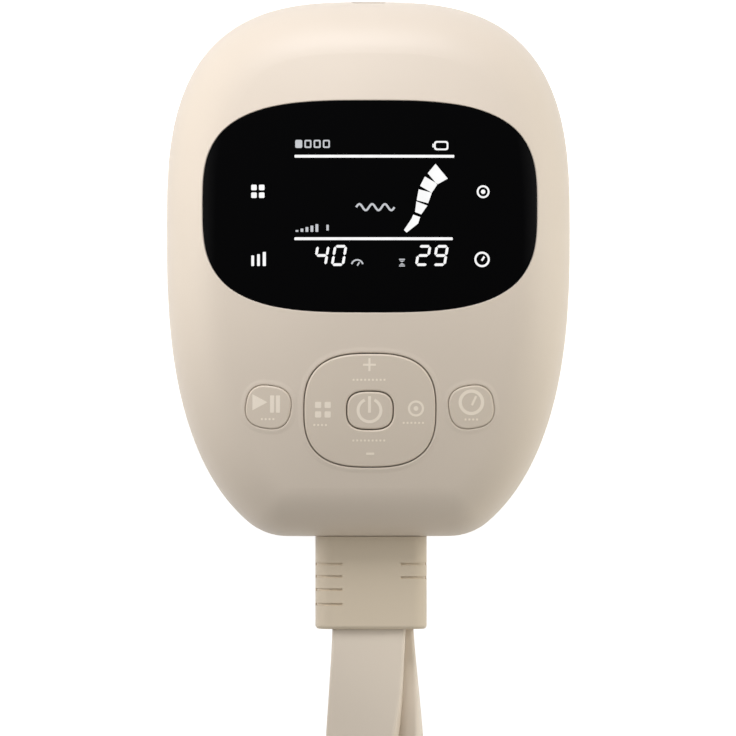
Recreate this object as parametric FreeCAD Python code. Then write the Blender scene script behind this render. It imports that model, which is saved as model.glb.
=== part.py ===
import FreeCAD, Part
import math
import os
from FreeCAD import Vector

# Compression therapy pump: a hand-held controller with two flat air hoses, in millimetres.
# The controller lies on its back: +Z points out of the display, +Y to the head, +X to its right.
# The origin is below the middle of the controller, on the surface that it lies on.

# ---- housing ----
body_half_width = 55.0
head_y = 73.0
base_y = -73.0
widest_y = 10.6
upper_exponent = 2.95
lower_exponent = 2.6
lower_reach = 89.5              # where the lower sides would meet the centre line
base_corner_radius = 16.5
foot_height = 1.2
depth = 47.8                    # from the back to the top of the crown
crown_radius = 260.0
crown_centre_y = 8.0
front_edge_radius = 18.0
back_edge_radius = 11.0
wall = 2.6
parting_z = 17.5
seam_width = 0.3                # of the fine groove where the shells meet
seam_depth = 0.25
lip_height = 1.6
lip_clearance = 0.1
outline_points = 12             # points per quarter of the outline curve
oval_points = 7                 # points per quarter of the display's and the keys' curves

past = 1.0                      # how far a cutter or a joined shape reaches past a surface
same = 1e-3                     # places nearer than this are taken as one

back_z = foot_height
crown_z = back_z + depth
floor_z = back_z + wall
lip_inset = wall / 2

# ---- display ----
window_y = 16.9
window_half_x = 45.45
window_half_y = 28.8
window_exponent = 3.2
lens_thickness = 1.4
lens_ledge = 2.0
lens_gap = 0.08
lcd_half_x = 33.7
lcd_half_y = 18.9
lcd_thickness = 2.2
backlight_thickness = 2.8
lcd_frame_wall = 1.3
lcd_frame_floor = 1.6
lcd_clearance = 0.1
lcd_top_z = 42.4

# ---- keys ----
key_y = -38.5
ring_half_x = 17.8
ring_half_y = 15.35
ring_exponent = 2.75
power_half_x = 6.18
power_half_y = 5.08
power_exponent = 2.9
side_key_x = 27.6
side_key_y = -37.6
side_half_x = 6.1
side_half_y = 5.8
side_exponent = 2.6
side_tilt = 9.0                 # how far each side key leans, in degrees
key_gap = 0.28
key_rise = 0.3                  # how far the keys stand above the crown
key_edge_radius = 0.5
opening_edge_radius = 0.3
key_travel = 0.7
ring_flange = 0.9
ring_flange_thickness = 0.75
ring_neck = 0.25                # from the ring's cap down to its flange
side_flange = 0.8
side_flange_thickness = 1.0
flange_gap = 0.15
power_flange_gap = 0.6          # below the ring's cap
power_flange_thickness = 0.8
stem_radius = 1.3
key_stem_radius = 2.2
stem_gap = 0.15
cap_overlap = 1.6               # how far stems and legs reach into the cap above them
ring_tilt = 1.0                 # each way, in degrees

ring_lift = (ring_half_x + ring_half_y) * math.sin(math.radians(ring_tilt))
ring_flange_top = wall + ring_lift + flange_gap
ring_flange_bottom = ring_flange_top + ring_flange_thickness
ring_thickness = ring_flange_top - ring_neck
power_flange_top = ring_thickness + power_flange_gap
power_flange_bottom = power_flange_top + power_flange_thickness

# ---- rocker carrier, the frame that lets the ring tilt both ways ----
carrier_half_x = 17.0
carrier_half_y = 15.2
carrier_bar = 2.0
carrier_thickness = 1.6
carrier_z = 35.0
pivot_radius = 0.7
pivot_clearance = 0.06
leg_thickness = 1.6
leg_half_width = 1.8
pivot_wall = 0.5                # round each pivot, above and below
leg_gap = 0.3
key_frame_opening = 0.5         # around the carrier
key_frame_bar = 4.5
key_frame_thickness = 1.0

# ---- boards and domes ----
board_top = 32.0
board_thickness = 1.6
board_inset = 7.0
boss_room = 0.5
mat_thickness = 1.0
mat_half_x = 37.0
mat_half_y = 18.5
dome_radius = 3.3
dome_top_radius = 1.9
dome_rest = 1.5                 # height of a dome that is pressed right down
dome_wall = 0.5
rocker_dome_offset = 9.5

dome_height = dome_rest + key_travel

# ---- fasteners and feet ----
case_bosses = ((37.8, 36.0), (29.0, -50.5))
case_boss_radius = 2.8
case_screw_radius = 1.25
case_screw_head_radius = 2.4
case_screw_head = 1.8
case_screw_grip = 9.0
board_bosses = ((46.0, -14.0), (28.0, 54.0))
board_boss_radius = 2.6
board_screw_radius = 1.0
board_screw_head_radius = 1.9
board_screw_head = 1.2
board_screw_grip = 4.0
screw_hole_room = 1.0           # below the end of a screw
foot_radius = 4.2
foot_recess = 1.0
screw_clearance = 0.1
foot_edge_radius = 0.5
screw_slot_half_length = 1.4
screw_slot_half_width = 0.3
screw_slot_depth = 0.8

# ---- battery ----
cell_radius = 9.2
cell_length = 65.0
cell_z = 14.0
cell_rows = (34.6, 53.6)
cell_clearance = 0.15
tray_wall = 1.6
tray_top = 11.5
nub_radius = 2.6
nub_height = 0.9

# ---- pump ----
pump_x = -30.0
pump_z = 17.0
motor_radius = 12.0
motor_back_y = -38.0
motor_length = 31.0
motor_boss_radius = 3.0
motor_boss = 2.0
motor_edge_radius = 1.0
motor_bore_start = 4.0
shaft_radius = 1.0
shaft_clearance = 0.05
shaft_end_gap = 0.2
shaft_room = 0.6                # where the shaft enters the head
eccentric_radius = 4.2
eccentric_offset = 1.4
eccentric_length = 4.5
eccentric_gap = 3.0             # from the motor's front
head_half = 12.4
head_length = 12.0
head_bore = 9.8
head_corner = 4.0
head_wall = 2.0
wobble_radius = 7.5
wobble_thickness = 1.6
wobble_gap = 0.5
wobble_feet = 3
wobble_foot_radius = 1.2
wobble_foot_offset = 5.4
wobble_first_foot = 90.0        # in degrees
diaphragm_thickness = 1.6
cover_length = 8.0
mount_half_x = 10.0
mount_length = 7.0
mount_height = 6.6
mount_ends = (4.0, 20.0)        # how far each mount starts from the motor's back
mount_gap = 0.12

# ---- valves ----
valve_count = 4
valve_pitch = 11.0
first_valve_x = 10.0
valve_y = 3.0
valve_half_x = 4.8
valve_half_y = 6.5
manifold_height = 5.2
manifold_margin = 1.5
sensor_port_room = 2.6          # beyond the sensor's port
plunger_radius = 2.4
plunger_length = 11.0
plunger_clearance = 0.08
plunger_seat = 0.05
spring_length = 5.95
spring_gap = 0.02
spring_radius = 2.1
spring_wire = 0.35
spring_turns = 4
spring_post_radius = 0.28
valve_cap = 1.5

valve_height = plunger_seat + plunger_length + spring_length + valve_cap

# ---- air lines ----
port_radius = 1.2
port_bore = 0.6
port_length = 4.0
port_reach = 3.0                # how far a side port's bore runs into the manifold
port_sink = 2.0                 # how deep an upright bore runs
hose_wall = 0.8
hose_grip = 0.05
line_end_gap = 0.5
line_bend = 9.0                 # where an air line turns, from each of its ends
outlet_pitch = 6.0
outlet_start = 9.0
pump_port_y = 9.0

# ---- socket and plug ----
plug_x = 0.9
plug_z = parting_z
plug_half_x = 15.2
plug_half_z = 7.2
plug_length = 25.35
plug_end_radius = 1.0
throat_depth = 1.5              # pockets in the plug's end, which the hoses come out of
throat_clearance = 0.6
plug_corner = 4.5
plug_gap = 0.05
insert_half_x = 12.6
insert_half_z = 5.2
insert_length = 14.0
insert_corner = 3.0
insert_clearance = 0.2
insert_end_gap = 1.0
socket_wall = 2.2
socket_back = 3.0
socket_corner = 4.2
slot_clearance = 0.5
nipple_radius = 1.6
nipple_length = 6.5
nipple_clearance = 0.08
seal_wire = 0.35
seal_gap = 0.1                  # between a seal and the end of the socket
seal_clearance = 0.02
grip_groove_depth = 0.4
grip_groove_half = 0.35
grip_groove_reach = 7.2
left_grooves = (-80.6, -84.0, -87.6, -91.6)
right_grooves = (-80.6, -84.3)

# ---- charge port ----
port_half_x = 4.5
port_half_z = 1.6
port_depth = 7.5
port_shell = 0.35
port_slot_clearance = 0.25
port_tongue = 0.35
port_flat = 0.05                # left between the port's round corners
port_back = 1.2
port_tongue_recess = 0.6
port_slot_depth = 10.5

# ---- hoses ----
ribbon_width = 20.0
ribbon_thickness = 5.0
front_route = (
    (0.2, -97.6, 20.7), (-0.7, -116.0, 20.1), (-2.8, -136.0, 16.6),
    (-3.6, -158.0, 12.4), (-3.0, -180.0, 11.0), (-3.3, -200.0, 10.8),
)
rear_route = (
    (2.4, -97.6, 14.3), (3.5, -116.0, 13.6), (5.6, -136.0, 12.2),
    (6.8, -158.0, 11.4), (6.1, -180.0, 10.9), (6.5, -200.0, 10.8),
)
twist_length = 92.0             # over which a hose turns from flat to on edge
section_step = 4.0
coil_outer = 59.5               # radius of the middle of the outer turn
coil_inner = 40.0
coil_slack = 0.3
coil_entry_gap = 0.9            # between a hose's loose stretch and its coil
coil_turns = 2.6
tie_width = 12.0
tie_thickness = 0.7
tie_angle = 215.0
tie_clearance = 0.05
leg_plug_length = 22.0
leg_plug_thickness = 11.0
leg_plug_height = 21.6
leg_plug_corner = 2.0
leg_port_radius = 1.5
leg_port_bore = 0.8
leg_port_length = 7.0
leg_port_pitch = 4.8
leg_plug_turn = 45.0            # past the end of the coil's turns
hose_lines = 4

# ---- leads and small electronics ----
lead_radius = 1.1
bend_share = 0.45               # of a run, taken by the bend at each of its ends
connector_size = (7.0, 5.0, 4.5)
battery_lead_x = -8.0
battery_lead_z = 8.0
battery_lead_reach = 9.5        # from the tray to the connector
battery_lead_bend_z = 15.0
pump_lead_x = -22.0
pump_lead_drop = 3.0            # below the motor's axis
pump_lead_rise = 5.0            # above the motor's axis, at the bend
pump_lead_reach = 7.0           # from the motor to the connector
lead_lean = 2.0                 # where a lead turns up, ahead of its connector
chip_blocks = ((-20.0, 50.0, 10.0, 10.0, 1.4), (22.0, 49.0, 7.0, 5.0, 1.2), (-9.0, -12.0, 6.0, 6.0, 1.1))
buzzer_place = (-42.0, 28.0)
buzzer_radius = 6.0
buzzer_height = 4.8
buzzer_hole_radius = 0.9
buzzer_hole_depth = 1.5
sensor_half = 3.4
sensor_height = 4.0

bodies = {}
pebbles = {}


# ---- general shapes ----
def block(low, high):
    return Part.makeBox(high[0] - low[0], high[1] - low[1], high[2] - low[2], Vector(*low))


def rod(start, end, radius):
    axis = Vector(*end) - Vector(*start)
    return Part.makeCylinder(radius, axis.Length, Vector(*start), axis)


def pipe(start, end, radius, bore):
    return rod(start, end, radius).cut(rod(start, end, bore))


def ring_solid(centre, axis, radius, wire):
    return Part.makeTorus(radius, wire, Vector(*centre), Vector(*axis))


def rounded_block(low, high, corner, along):
    """A block whose edges along one axis are rounded."""
    solid = block(low, high)
    edges = [e for e in solid.Edges if abs(abs(e.tangentAt(e.FirstParameter).dot(along)) - 1) < same]
    return solid.makeFillet(corner, edges)


def edges_at_y(solid, y):
    near = 10 * same
    return [e for e in solid.Edges if abs(e.BoundBox.YMax - y) < near and e.BoundBox.YLength < near]


def both_sides(places):
    """Each place, and its mirror image across the centre line."""
    for x, y in places:
        yield x, y
        yield -x, y


def save(name, shapes):
    """Keeps a piece, or a group of like pieces, under the name of its file."""
    solids = [s for shape in shapes for s in shape.Solids]
    bodies[name] = solids[0] if len(solids) == 1 else Part.makeCompound(solids)


# ---- the housing's form ----
def oval_point(angle, half_x, half_y, exponent, inset):
    """A point of a superellipse's first quarter, moved inwards, with its outward normal."""
    across = abs(math.cos(angle))
    along = abs(math.sin(angle))
    reach = (across ** exponent + along ** exponent) ** (-1.0 / exponent)
    x = half_x * reach * across
    y = half_y * reach * along
    normal = Vector(x ** (exponent - 1) / half_x ** exponent, y ** (exponent - 1) / half_y ** exponent, 0)
    normal.normalize()
    return Vector(x, y, 0) - normal * inset, normal


def oval_face(centre, half_x, half_y, exponent, grow=0.0, turn=0.0):
    """The flat face inside a superellipse with one smooth closed edge."""
    quarter = [oval_point(math.pi / 2 * i / oval_points, half_x, half_y, exponent, -grow)[0]
               for i in range(oval_points + 1)]
    half = quarter + [Vector(-p.x, p.y, 0) for p in reversed(quarter[:-1])]
    points = half + [Vector(p.x, -p.y, 0) for p in reversed(half[1:-1])]
    curve = Part.BSplineCurve()
    curve.interpolate(Points=points, PeriodicFlag=True)
    face = Part.Face(Part.Wire([curve.toShape()]))
    face.rotate(Vector(0, 0, 0), Vector(0, 0, 1), turn)
    face.translate(Vector(centre[0], centre[1], 0))
    return face


def oval_prism(centre, half_x, half_y, exponent, low, high, grow=0.0, turn=0.0):
    face = oval_face(centre, half_x, half_y, exponent, grow, turn)
    face.translate(Vector(0, 0, low))
    return face.extrude(Vector(0, 0, high - low))


def body_outline(inset):
    """The housing's outline from the front: superellipse sides, a flat base and round base corners."""
    head_reach = head_y - widest_y
    quarter = [oval_point(math.pi / 2 * i / outline_points, body_half_width, head_reach,
                          upper_exponent, inset)[0] for i in range(outline_points + 1)]
    head = [Vector(p.x, p.y + widest_y, 0) for p in quarter]
    head += [Vector(-p.x, p.y, 0) for p in reversed(head[:-1])]
    head_curve = Part.BSplineCurve()
    head_curve.interpolate(Points=head, InitialTangent=Vector(0, 1, 0), FinalTangent=Vector(0, -1, 0))
    last_angle = corner_angle()
    side = []
    for i in range(outline_points + 1):
        point, normal = oval_point(last_angle * i / outline_points, body_half_width, lower_reach,
                                   lower_exponent, inset)
        side.append(Vector(point.x, widest_y - point.y, 0))
    side_curve = Part.BSplineCurve()
    side_curve.interpolate(Points=side, InitialTangent=Vector(0, -1, 0),
                           FinalTangent=Vector(-normal.y, -normal.x, 0))
    radius = base_corner_radius - inset
    centre = side[-1] - Vector(normal.x, -normal.y, 0) * radius
    foot = Vector(centre.x, base_y + inset, 0)
    middle = (side[-1] - centre).normalize() + Vector(0, -1, 0)
    bend = Part.Arc(side[-1], centre + middle.normalize() * radius, foot)
    right = [side_curve.toShape(), bend.toShape()]
    left = [e.mirror(Vector(0, 0, 0), Vector(1, 0, 0)) for e in right]
    base = Part.LineSegment(foot, Vector(-foot.x, foot.y, 0)).toShape()
    return Part.Wire(Part.__sortEdges__([head_curve.toShape(), base] + right + left))


def corner_angle():
    """Where the lower side meets the round base corner."""
    target = widest_y - base_y - base_corner_radius
    low = 0.0
    high = math.pi / 2
    while high - low > same ** 2:
        middle = (low + high) / 2
        point = oval_point(middle, body_half_width, lower_reach, lower_exponent, base_corner_radius)[0]
        if point.y < target:
            low = middle
        else:
            high = middle
    return low


def crown(below):
    """The ball whose top is the crown, lowered by a depth."""
    ball = Part.makeSphere(crown_radius - below)
    ball.rotate(Vector(0, 0, 0), Vector(1, 0, 0), 90)
    ball.translate(Vector(0, crown_centre_y, crown_z - crown_radius))
    return ball


def crown_height(x, y, below=0.0):
    flat = x ** 2 + (y - crown_centre_y) ** 2
    return crown_z - crown_radius + math.sqrt((crown_radius - below) ** 2 - flat)


def pebble(inset):
    """The housing's whole form, shrunk by a wall and kept for the next use."""
    if inset not in pebbles:
        pebbles[inset] = new_pebble(inset)
    return pebbles[inset]


def new_pebble(inset):
    face = Part.Face(body_outline(inset))
    face.translate(Vector(0, 0, back_z + inset))
    solid = face.extrude(Vector(0, 0, depth + past)).common(crown(inset)).Solids[0]
    rim = [e for f in solid.Faces if isinstance(f.Surface, Part.Sphere) for e in f.Edges]
    solid = solid.makeFillet(front_edge_radius - inset, rim)
    back = [f for f in solid.Faces if isinstance(f.Surface, Part.Plane)
            and abs(f.CenterOfMass.z - back_z - inset) < same]
    return solid.makeFillet(back_edge_radius - inset, back[0].Edges)


def outline_prism(inset, low, high):
    face = Part.Face(body_outline(inset))
    face.translate(Vector(0, 0, low))
    return face.extrude(Vector(0, 0, high - low))


def above(z):
    return block((-2 * body_half_width, 2 * base_y, z), (2 * body_half_width, 2 * head_y, 2 * crown_z))


def window_prism(grow):
    return oval_prism((0, window_y), window_half_x, window_half_y, window_exponent,
                      parting_z, crown_z + past, grow)


def key_prism(name, low, high, grow=0.0):
    """The column of one key, from its outline."""
    shapes = {
        "ring": ((0, key_y), ring_half_x, ring_half_y, ring_exponent, 0),
        "power": ((0, key_y), power_half_x, power_half_y, power_exponent, 0),
        "left": ((-side_key_x, side_key_y), side_half_x, side_half_y, side_exponent, -side_tilt),
        "right": ((side_key_x, side_key_y), side_half_x, side_half_y, side_exponent, side_tilt),
    }
    centre, half_x, half_y, exponent, turn = shapes[name]
    return oval_prism(centre, half_x, half_y, exponent, low, high, grow, turn)


def plug_slot(half_x, half_z, corner, near_y, far_y):
    """A round-cornered block on the plug's axis."""
    low = (plug_x - half_x, near_y, plug_z - half_z)
    high = (plug_x + half_x, far_y, plug_z + half_z)
    return rounded_block(low, high, corner, Vector(0, 1, 0))


# ---- shells ----
def front_shell(outer, inner):
    solid = outer.common(above(parting_z)).cut(inner)
    solid = solid.cut(outline_prism(lip_inset - lip_clearance, parting_z - past, parting_z + lip_height))
    bosses = [rod((x, y, parting_z + lip_height), (x, y, crown_z), case_boss_radius)
              for x, y in both_sides(case_bosses)]
    bosses += [rod((x, y, board_top), (x, y, crown_z), board_boss_radius)
               for x, y in both_sides(board_bosses)]
    core = pebble(wall / 2)
    solid = solid.fuse([b.common(core) for b in bosses])
    window = window_prism(0.0)
    opening = window_prism(-lens_ledge)
    cuts = [window.cut(pebble(lens_thickness + lens_gap)), opening]
    cuts += [key_prism(name, board_top, crown_z + past, key_gap) for name in ("ring", "left", "right")]
    cuts += [rod((x, y, 0), (x, y, shell_screw_end() + screw_hole_room), case_screw_radius)
             for x, y in both_sides(case_bosses)]
    cuts += [rod((x, y, 0), (x, y, board_top + board_screw_grip + screw_hole_room), board_screw_radius)
             for x, y in both_sides(board_bosses)]
    cuts += [base_slot(), charge_slot(), seam()]
    for cut in cuts:
        solid = solid.cut(cut)
    save("front_shell", [solid.makeFillet(opening_edge_radius, opening_rims(solid, outer))])


def opening_rims(solid, skin):
    """The edges where the display and key openings break the front's surface."""
    rims = []
    for face in solid.Faces:
        inside = face.BoundBox.XLength < 2 * window_half_x + past and face.BoundBox.YMin > base_y + wall
        if not inside or not isinstance(face.Surface, Part.SurfaceOfExtrusion):
            continue
        for edge in face.Edges:
            middle = edge.valueAt((edge.FirstParameter + edge.LastParameter) / 2)
            if middle.z > board_top and skin.distToShape(Part.Vertex(middle))[0] < same:
                rims.append(edge)
    return rims


def rear_shell(outer, inner):
    solid = outer.cut(above(parting_z)).cut(inner)
    lip = outline_prism(lip_inset, parting_z - lip_height, parting_z + lip_height)
    lip = lip.cut(outline_prism(wall, parting_z - lip_height, parting_z + lip_height))
    solid = solid.fuse(lip)
    bosses = [rod((x, y, back_z + past), (x, y, parting_z + lip_height), case_boss_radius)
              for x, y in both_sides(case_bosses)]
    solid = solid.fuse(bosses)
    head_z = back_z + foot_recess
    for x, y in both_sides(case_bosses):
        solid = solid.cut(rod((x, y, 0), (x, y, head_z), foot_radius + screw_clearance))
        solid = solid.cut(rod((x, y, 0), (x, y, head_z + case_screw_head),
                              case_screw_head_radius + screw_clearance))
        solid = solid.cut(rod((x, y, 0), (x, y, crown_z), case_screw_radius + screw_clearance))
    save("rear_shell", [solid.cut(base_slot()).cut(seam())])


def seam():
    low = parting_z - seam_width / 2
    high = parting_z + seam_width / 2
    return outline_prism(-past, low, high).cut(outline_prism(seam_depth, low, high))


def base_slot():
    return plug_slot(insert_half_x + slot_clearance, insert_half_z + slot_clearance, insert_corner,
                     base_y - past, base_y + wall + past)


def charge_slot():
    half_x = port_half_x + port_slot_clearance
    half_z = port_half_z + port_slot_clearance
    middle = charge_port_z()
    low = (-half_x, head_y - port_slot_depth, middle - half_z)
    high = (half_x, head_y + past, middle + half_z)
    return rounded_block(low, high, half_z - port_flat, Vector(0, 1, 0))


def shell_screw_end():
    return parting_z + lip_height + case_screw_grip


def feet_and_screws():
    feet = []
    screws = []
    head_z = back_z + foot_recess
    for x, y in both_sides(case_bosses):
        foot = rod((x, y, 0), (x, y, head_z), foot_radius)
        feet.append(foot.makeFillet(foot_edge_radius, [e for e in foot.Edges if e.BoundBox.ZMax < same]))
        head = rod((x, y, head_z), (x, y, head_z + case_screw_head), case_screw_head_radius)
        shank = rod((x, y, head_z), (x, y, shell_screw_end()), case_screw_radius)
        slot = block((x - screw_slot_half_length, y - screw_slot_half_width, head_z),
                     (x + screw_slot_half_length, y + screw_slot_half_width, head_z + screw_slot_depth))
        screws.append(head.fuse(shank).removeSplitter().cut(slot))
    save("rubber_feet", feet)
    save("case_screws", screws)


# ---- display ----
def display(outer):
    save("display_lens", [window_prism(-lens_gap).common(outer).cut(pebble(lens_thickness))])
    lcd_bottom = lcd_top_z - lcd_thickness
    light_bottom = lcd_bottom - backlight_thickness
    floor_top = light_bottom
    save("lcd_panel", [block((-lcd_half_x, window_y - lcd_half_y, lcd_bottom),
                             (lcd_half_x, window_y + lcd_half_y, lcd_top_z))])
    save("lcd_backlight", [block((-lcd_half_x, window_y - lcd_half_y, light_bottom),
                                 (lcd_half_x, window_y + lcd_half_y, lcd_bottom))])
    inner_x = lcd_half_x + lcd_clearance
    inner_y = lcd_half_y + lcd_clearance
    frame = block((-inner_x - lcd_frame_wall, window_y - inner_y - lcd_frame_wall, board_top),
                  (inner_x + lcd_frame_wall, window_y + inner_y + lcd_frame_wall, lcd_top_z))
    frame = frame.cut(block((-inner_x, window_y - inner_y, floor_top),
                            (inner_x, window_y + inner_y, lcd_top_z + past)))
    frame = frame.cut(block((-inner_x, window_y - inner_y, board_top - past),
                            (inner_x, window_y + inner_y, floor_top - lcd_frame_floor)))
    save("lcd_frame", [frame])


# ---- keys ----
def key_cap(name, below_shell, flange, flange_top, flange_bottom):
    """A key whose top follows the crown, with a flange under the shell."""
    cap = key_prism(name, board_top, crown_z + past).common(crown(-key_rise)).cut(crown(below_shell))
    cap = cap.makeFillet(key_edge_radius, key_rims(cap, crown(-key_rise)))
    brim = key_prism(name, board_top, crown_z + past, flange)
    brim = brim.common(crown(flange_top)).cut(crown(flange_bottom))
    return cap.fuse(brim)


def key_rims(cap, skin):
    """The edges round a key's top."""
    rims = []
    for edge in cap.Edges:
        middle = edge.valueAt((edge.FirstParameter + edge.LastParameter) / 2)
        start = edge.valueAt(edge.FirstParameter)
        ends = [skin.distToShape(Part.Vertex(p))[0] for p in (start, middle)]
        if max(ends) < same:
            rims.append(edge)
    return rims


def stem(x, y, radius, cap_bottom):
    foot = board_top + mat_thickness + dome_height + stem_gap
    return rod((x, y, foot), (x, y, crown_height(x, y, cap_bottom - cap_overlap)), radius)


def side_key(name, node, side):
    flange_top = wall + flange_gap
    flange_bottom = flange_top + side_flange_thickness
    cap = key_cap(name, flange_bottom, side_flange, flange_top, flange_bottom)
    save(node, [cap.fuse(stem(side * side_key_x, side_key_y, key_stem_radius, flange_bottom))])


def power_button():
    cap = key_cap("power", power_flange_bottom, ring_flange, power_flange_top, power_flange_bottom)
    save("power_button", [cap.fuse(stem(0, key_y, key_stem_radius, power_flange_bottom))])


def rocker_ring():
    """The ring's cap, its flange under the shell, its legs and the stems that press the domes."""
    cap = key_prism("ring", board_top, crown_z + past).common(crown(-key_rise)).cut(crown(ring_thickness))
    cap = cap.cut(key_prism("power", board_top, crown_z + past, key_gap))
    cap = cap.makeFillet(key_edge_radius, key_rims(cap, crown(-key_rise)))
    brim = key_prism("ring", board_top, crown_z + past, ring_flange)
    brim = brim.common(crown(ring_flange_top)).cut(crown(ring_flange_bottom))
    neck = key_prism("ring", board_top, crown_z + past, -key_gap)
    neck = neck.common(crown(ring_thickness - pivot_wall)).cut(crown(ring_flange_top + pivot_wall / 2))
    brim = brim.fuse(neck).cut(key_prism("power", board_top, crown_z + past, ring_flange + key_gap))
    for side in (-1, 1):
        near = key_y + side * (ring_half_y - pivot_wall)
        far = key_y + side * (ring_half_y + 2 * ring_flange)
        brim = brim.cut(block((-leg_half_width - key_gap, min(near, far), board_top),
                              (leg_half_width + key_gap, max(near, far), crown_z)))
    added = [brim]
    for side in (-1, 1):
        leg_x = side * (leg_inner_x() + leg_thickness / 2)
        added.append(block((leg_x - leg_thickness / 2, key_y - leg_half_width, pivot_bottom()),
                           (leg_x + leg_thickness / 2, key_y + leg_half_width,
                            crown_height(leg_x, key_y, ring_thickness - cap_overlap))))
        added.append(stem(side * rocker_dome_offset, key_y, stem_radius, ring_thickness))
        added.append(stem(0, key_y + side * rocker_dome_offset, stem_radius, ring_thickness))
    pivot = rod((-ring_half_x, key_y, carrier_z), (ring_half_x, key_y, carrier_z),
                pivot_radius + pivot_clearance)
    save("rocker_ring", [cap.fuse(added).cut(pivot)])


def pivot_bottom():
    return carrier_z - pivot_radius - pivot_clearance - pivot_wall


def pivot_top():
    return carrier_z + pivot_radius + pivot_clearance + pivot_wall


def leg_inner_x():
    return carrier_half_x - carrier_bar - leg_gap - leg_thickness


def rocker_carrier():
    low = carrier_z - carrier_thickness / 2
    high = carrier_z + carrier_thickness / 2
    frame = block((-carrier_half_x, key_y - carrier_half_y, low),
                  (carrier_half_x, key_y + carrier_half_y, high))
    inner_x = carrier_half_x - carrier_bar
    inner_y = carrier_half_y - carrier_bar
    frame = frame.cut(block((-inner_x, key_y - inner_y, low), (inner_x, key_y + inner_y, high)))
    lug_far = carrier_half_y + key_frame_opening + leg_thickness
    pins = []
    for side in (-1, 1):
        pins.append(rod((side * (leg_inner_x() + leg_gap), key_y, carrier_z),
                        (side * (inner_x + carrier_bar / 2), key_y, carrier_z), pivot_radius))
        pins.append(rod((0, key_y + side * (inner_y + carrier_bar / 2), carrier_z),
                        (0, key_y + side * lug_far, carrier_z), pivot_radius))
    save("rocker_carrier", [frame.fuse(pins)])


def key_frame():
    low = board_top + mat_thickness
    hole_x = carrier_half_x + key_frame_opening
    hole_y = carrier_half_y + key_frame_opening
    plate = block((-hole_x - key_frame_bar, key_y - hole_y - key_frame_bar / 2, low),
                  (hole_x + key_frame_bar, key_y + hole_y + key_frame_bar / 2, low + key_frame_thickness))
    plate = plate.cut(block((-hole_x, key_y - hole_y, low),
                            (hole_x, key_y + hole_y, low + key_frame_thickness)))
    for x in (-side_key_x, side_key_x):
        plate = plate.cut(rod((x, side_key_y, low), (x, side_key_y, crown_z), dome_radius + leg_gap))
    for side in (-1, 1):
        near = key_y + side * hole_y
        far = near + side * leg_thickness
        lug = block((-leg_half_width, min(near, far), low),
                    (leg_half_width, max(near, far), pivot_top()))
        plate = plate.fuse(lug)
    pivot = rod((0, key_y - 2 * hole_y, carrier_z), (0, key_y + 2 * hole_y, carrier_z),
                pivot_radius + pivot_clearance)
    save("key_frame", [plate.removeSplitter().cut(pivot)])


def dome(x, y):
    """A hollow silicone dome that springs a key back."""
    foot = board_top + mat_thickness
    outside = Part.makeCone(dome_radius, dome_top_radius, dome_height, Vector(x, y, foot))
    hollow = Part.makeCone(dome_radius - dome_wall, dome_top_radius - dome_wall, dome_height - dome_wall,
                           Vector(x, y, foot))
    return outside.cut(hollow)


def domes():
    save("power_dome", [dome(0, key_y)])
    save("play_pause_dome", [dome(-side_key_x, side_key_y)])
    save("timer_dome", [dome(side_key_x, side_key_y)])
    save("level_domes", [dome(0, key_y + side * rocker_dome_offset) for side in (-1, 1)])
    save("mode_domes", [dome(side * rocker_dome_offset, key_y) for side in (-1, 1)])


# ---- boards ----
def boards(inner_room):
    board = outline_prism(board_inset, board_top - board_thickness, board_top).common(inner_room)
    mat_room = outline_prism(board_inset, board_top, board_top + mat_thickness).common(inner_room)
    for x, y in both_sides(case_bosses):
        board = board.cut(rod((x, y, 0), (x, y, crown_z), case_boss_radius + boss_room))
    for x, y in both_sides(board_bosses):
        board = board.cut(rod((x, y, 0), (x, y, crown_z), board_screw_radius + screw_clearance))
    save("main_board", [board])
    mat = block((-mat_half_x, key_y - mat_half_y, board_top),
                (mat_half_x, key_y + mat_half_y, board_top + mat_thickness)).common(mat_room)
    for x, y in both_sides(case_bosses):
        mat = mat.cut(rod((x, y, 0), (x, y, crown_z), case_boss_radius + boss_room))
    save("keypad_mat", [mat])
    under = board_top - board_thickness
    screws = []
    for x, y in both_sides(board_bosses):
        head = rod((x, y, under - board_screw_head), (x, y, under), board_screw_head_radius)
        shank = rod((x, y, under), (x, y, board_top + board_screw_grip), board_screw_radius)
        screws.append(head.fuse(shank))
    save("board_screws", screws)
    chips = [block((x - w / 2, y - d / 2, under - h), (x + w / 2, y + d / 2, under))
             for x, y, w, d, h in chip_blocks]
    save("board_chips", chips)
    x, y = buzzer_place
    low = under - buzzer_height
    hole = rod((x, y, low), (x, y, low + buzzer_hole_depth), buzzer_hole_radius)
    save("buzzer", [rod((x, y, low), (x, y, under), buzzer_radius).cut(hole)])


def charge_port_z():
    return board_top - board_thickness - port_half_z


def charge_port(inner_y):
    """A receptacle whose mouth is reached through the head's slot."""
    middle = charge_port_z()
    mouth_y = inner_y + wall / 2
    low = (-port_half_x, mouth_y - port_depth, middle - port_half_z)
    high = (port_half_x, mouth_y, middle + port_half_z)
    corner = port_half_z - port_flat
    shell = rounded_block(low, high, corner, Vector(0, 1, 0))
    hollow = rounded_block((low[0] + port_shell, low[1] + port_back, low[2] + port_shell),
                           (high[0] - port_shell, high[1] + past, high[2] - port_shell),
                           corner - port_shell, Vector(0, 1, 0))
    tongue = block((low[0] + port_back, low[1] + port_back / 2, middle - port_tongue),
                   (high[0] - port_back, high[1] - port_tongue_recess, middle + port_tongue))
    save("charge_port", [shell.cut(hollow).fuse(tongue)])


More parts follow.
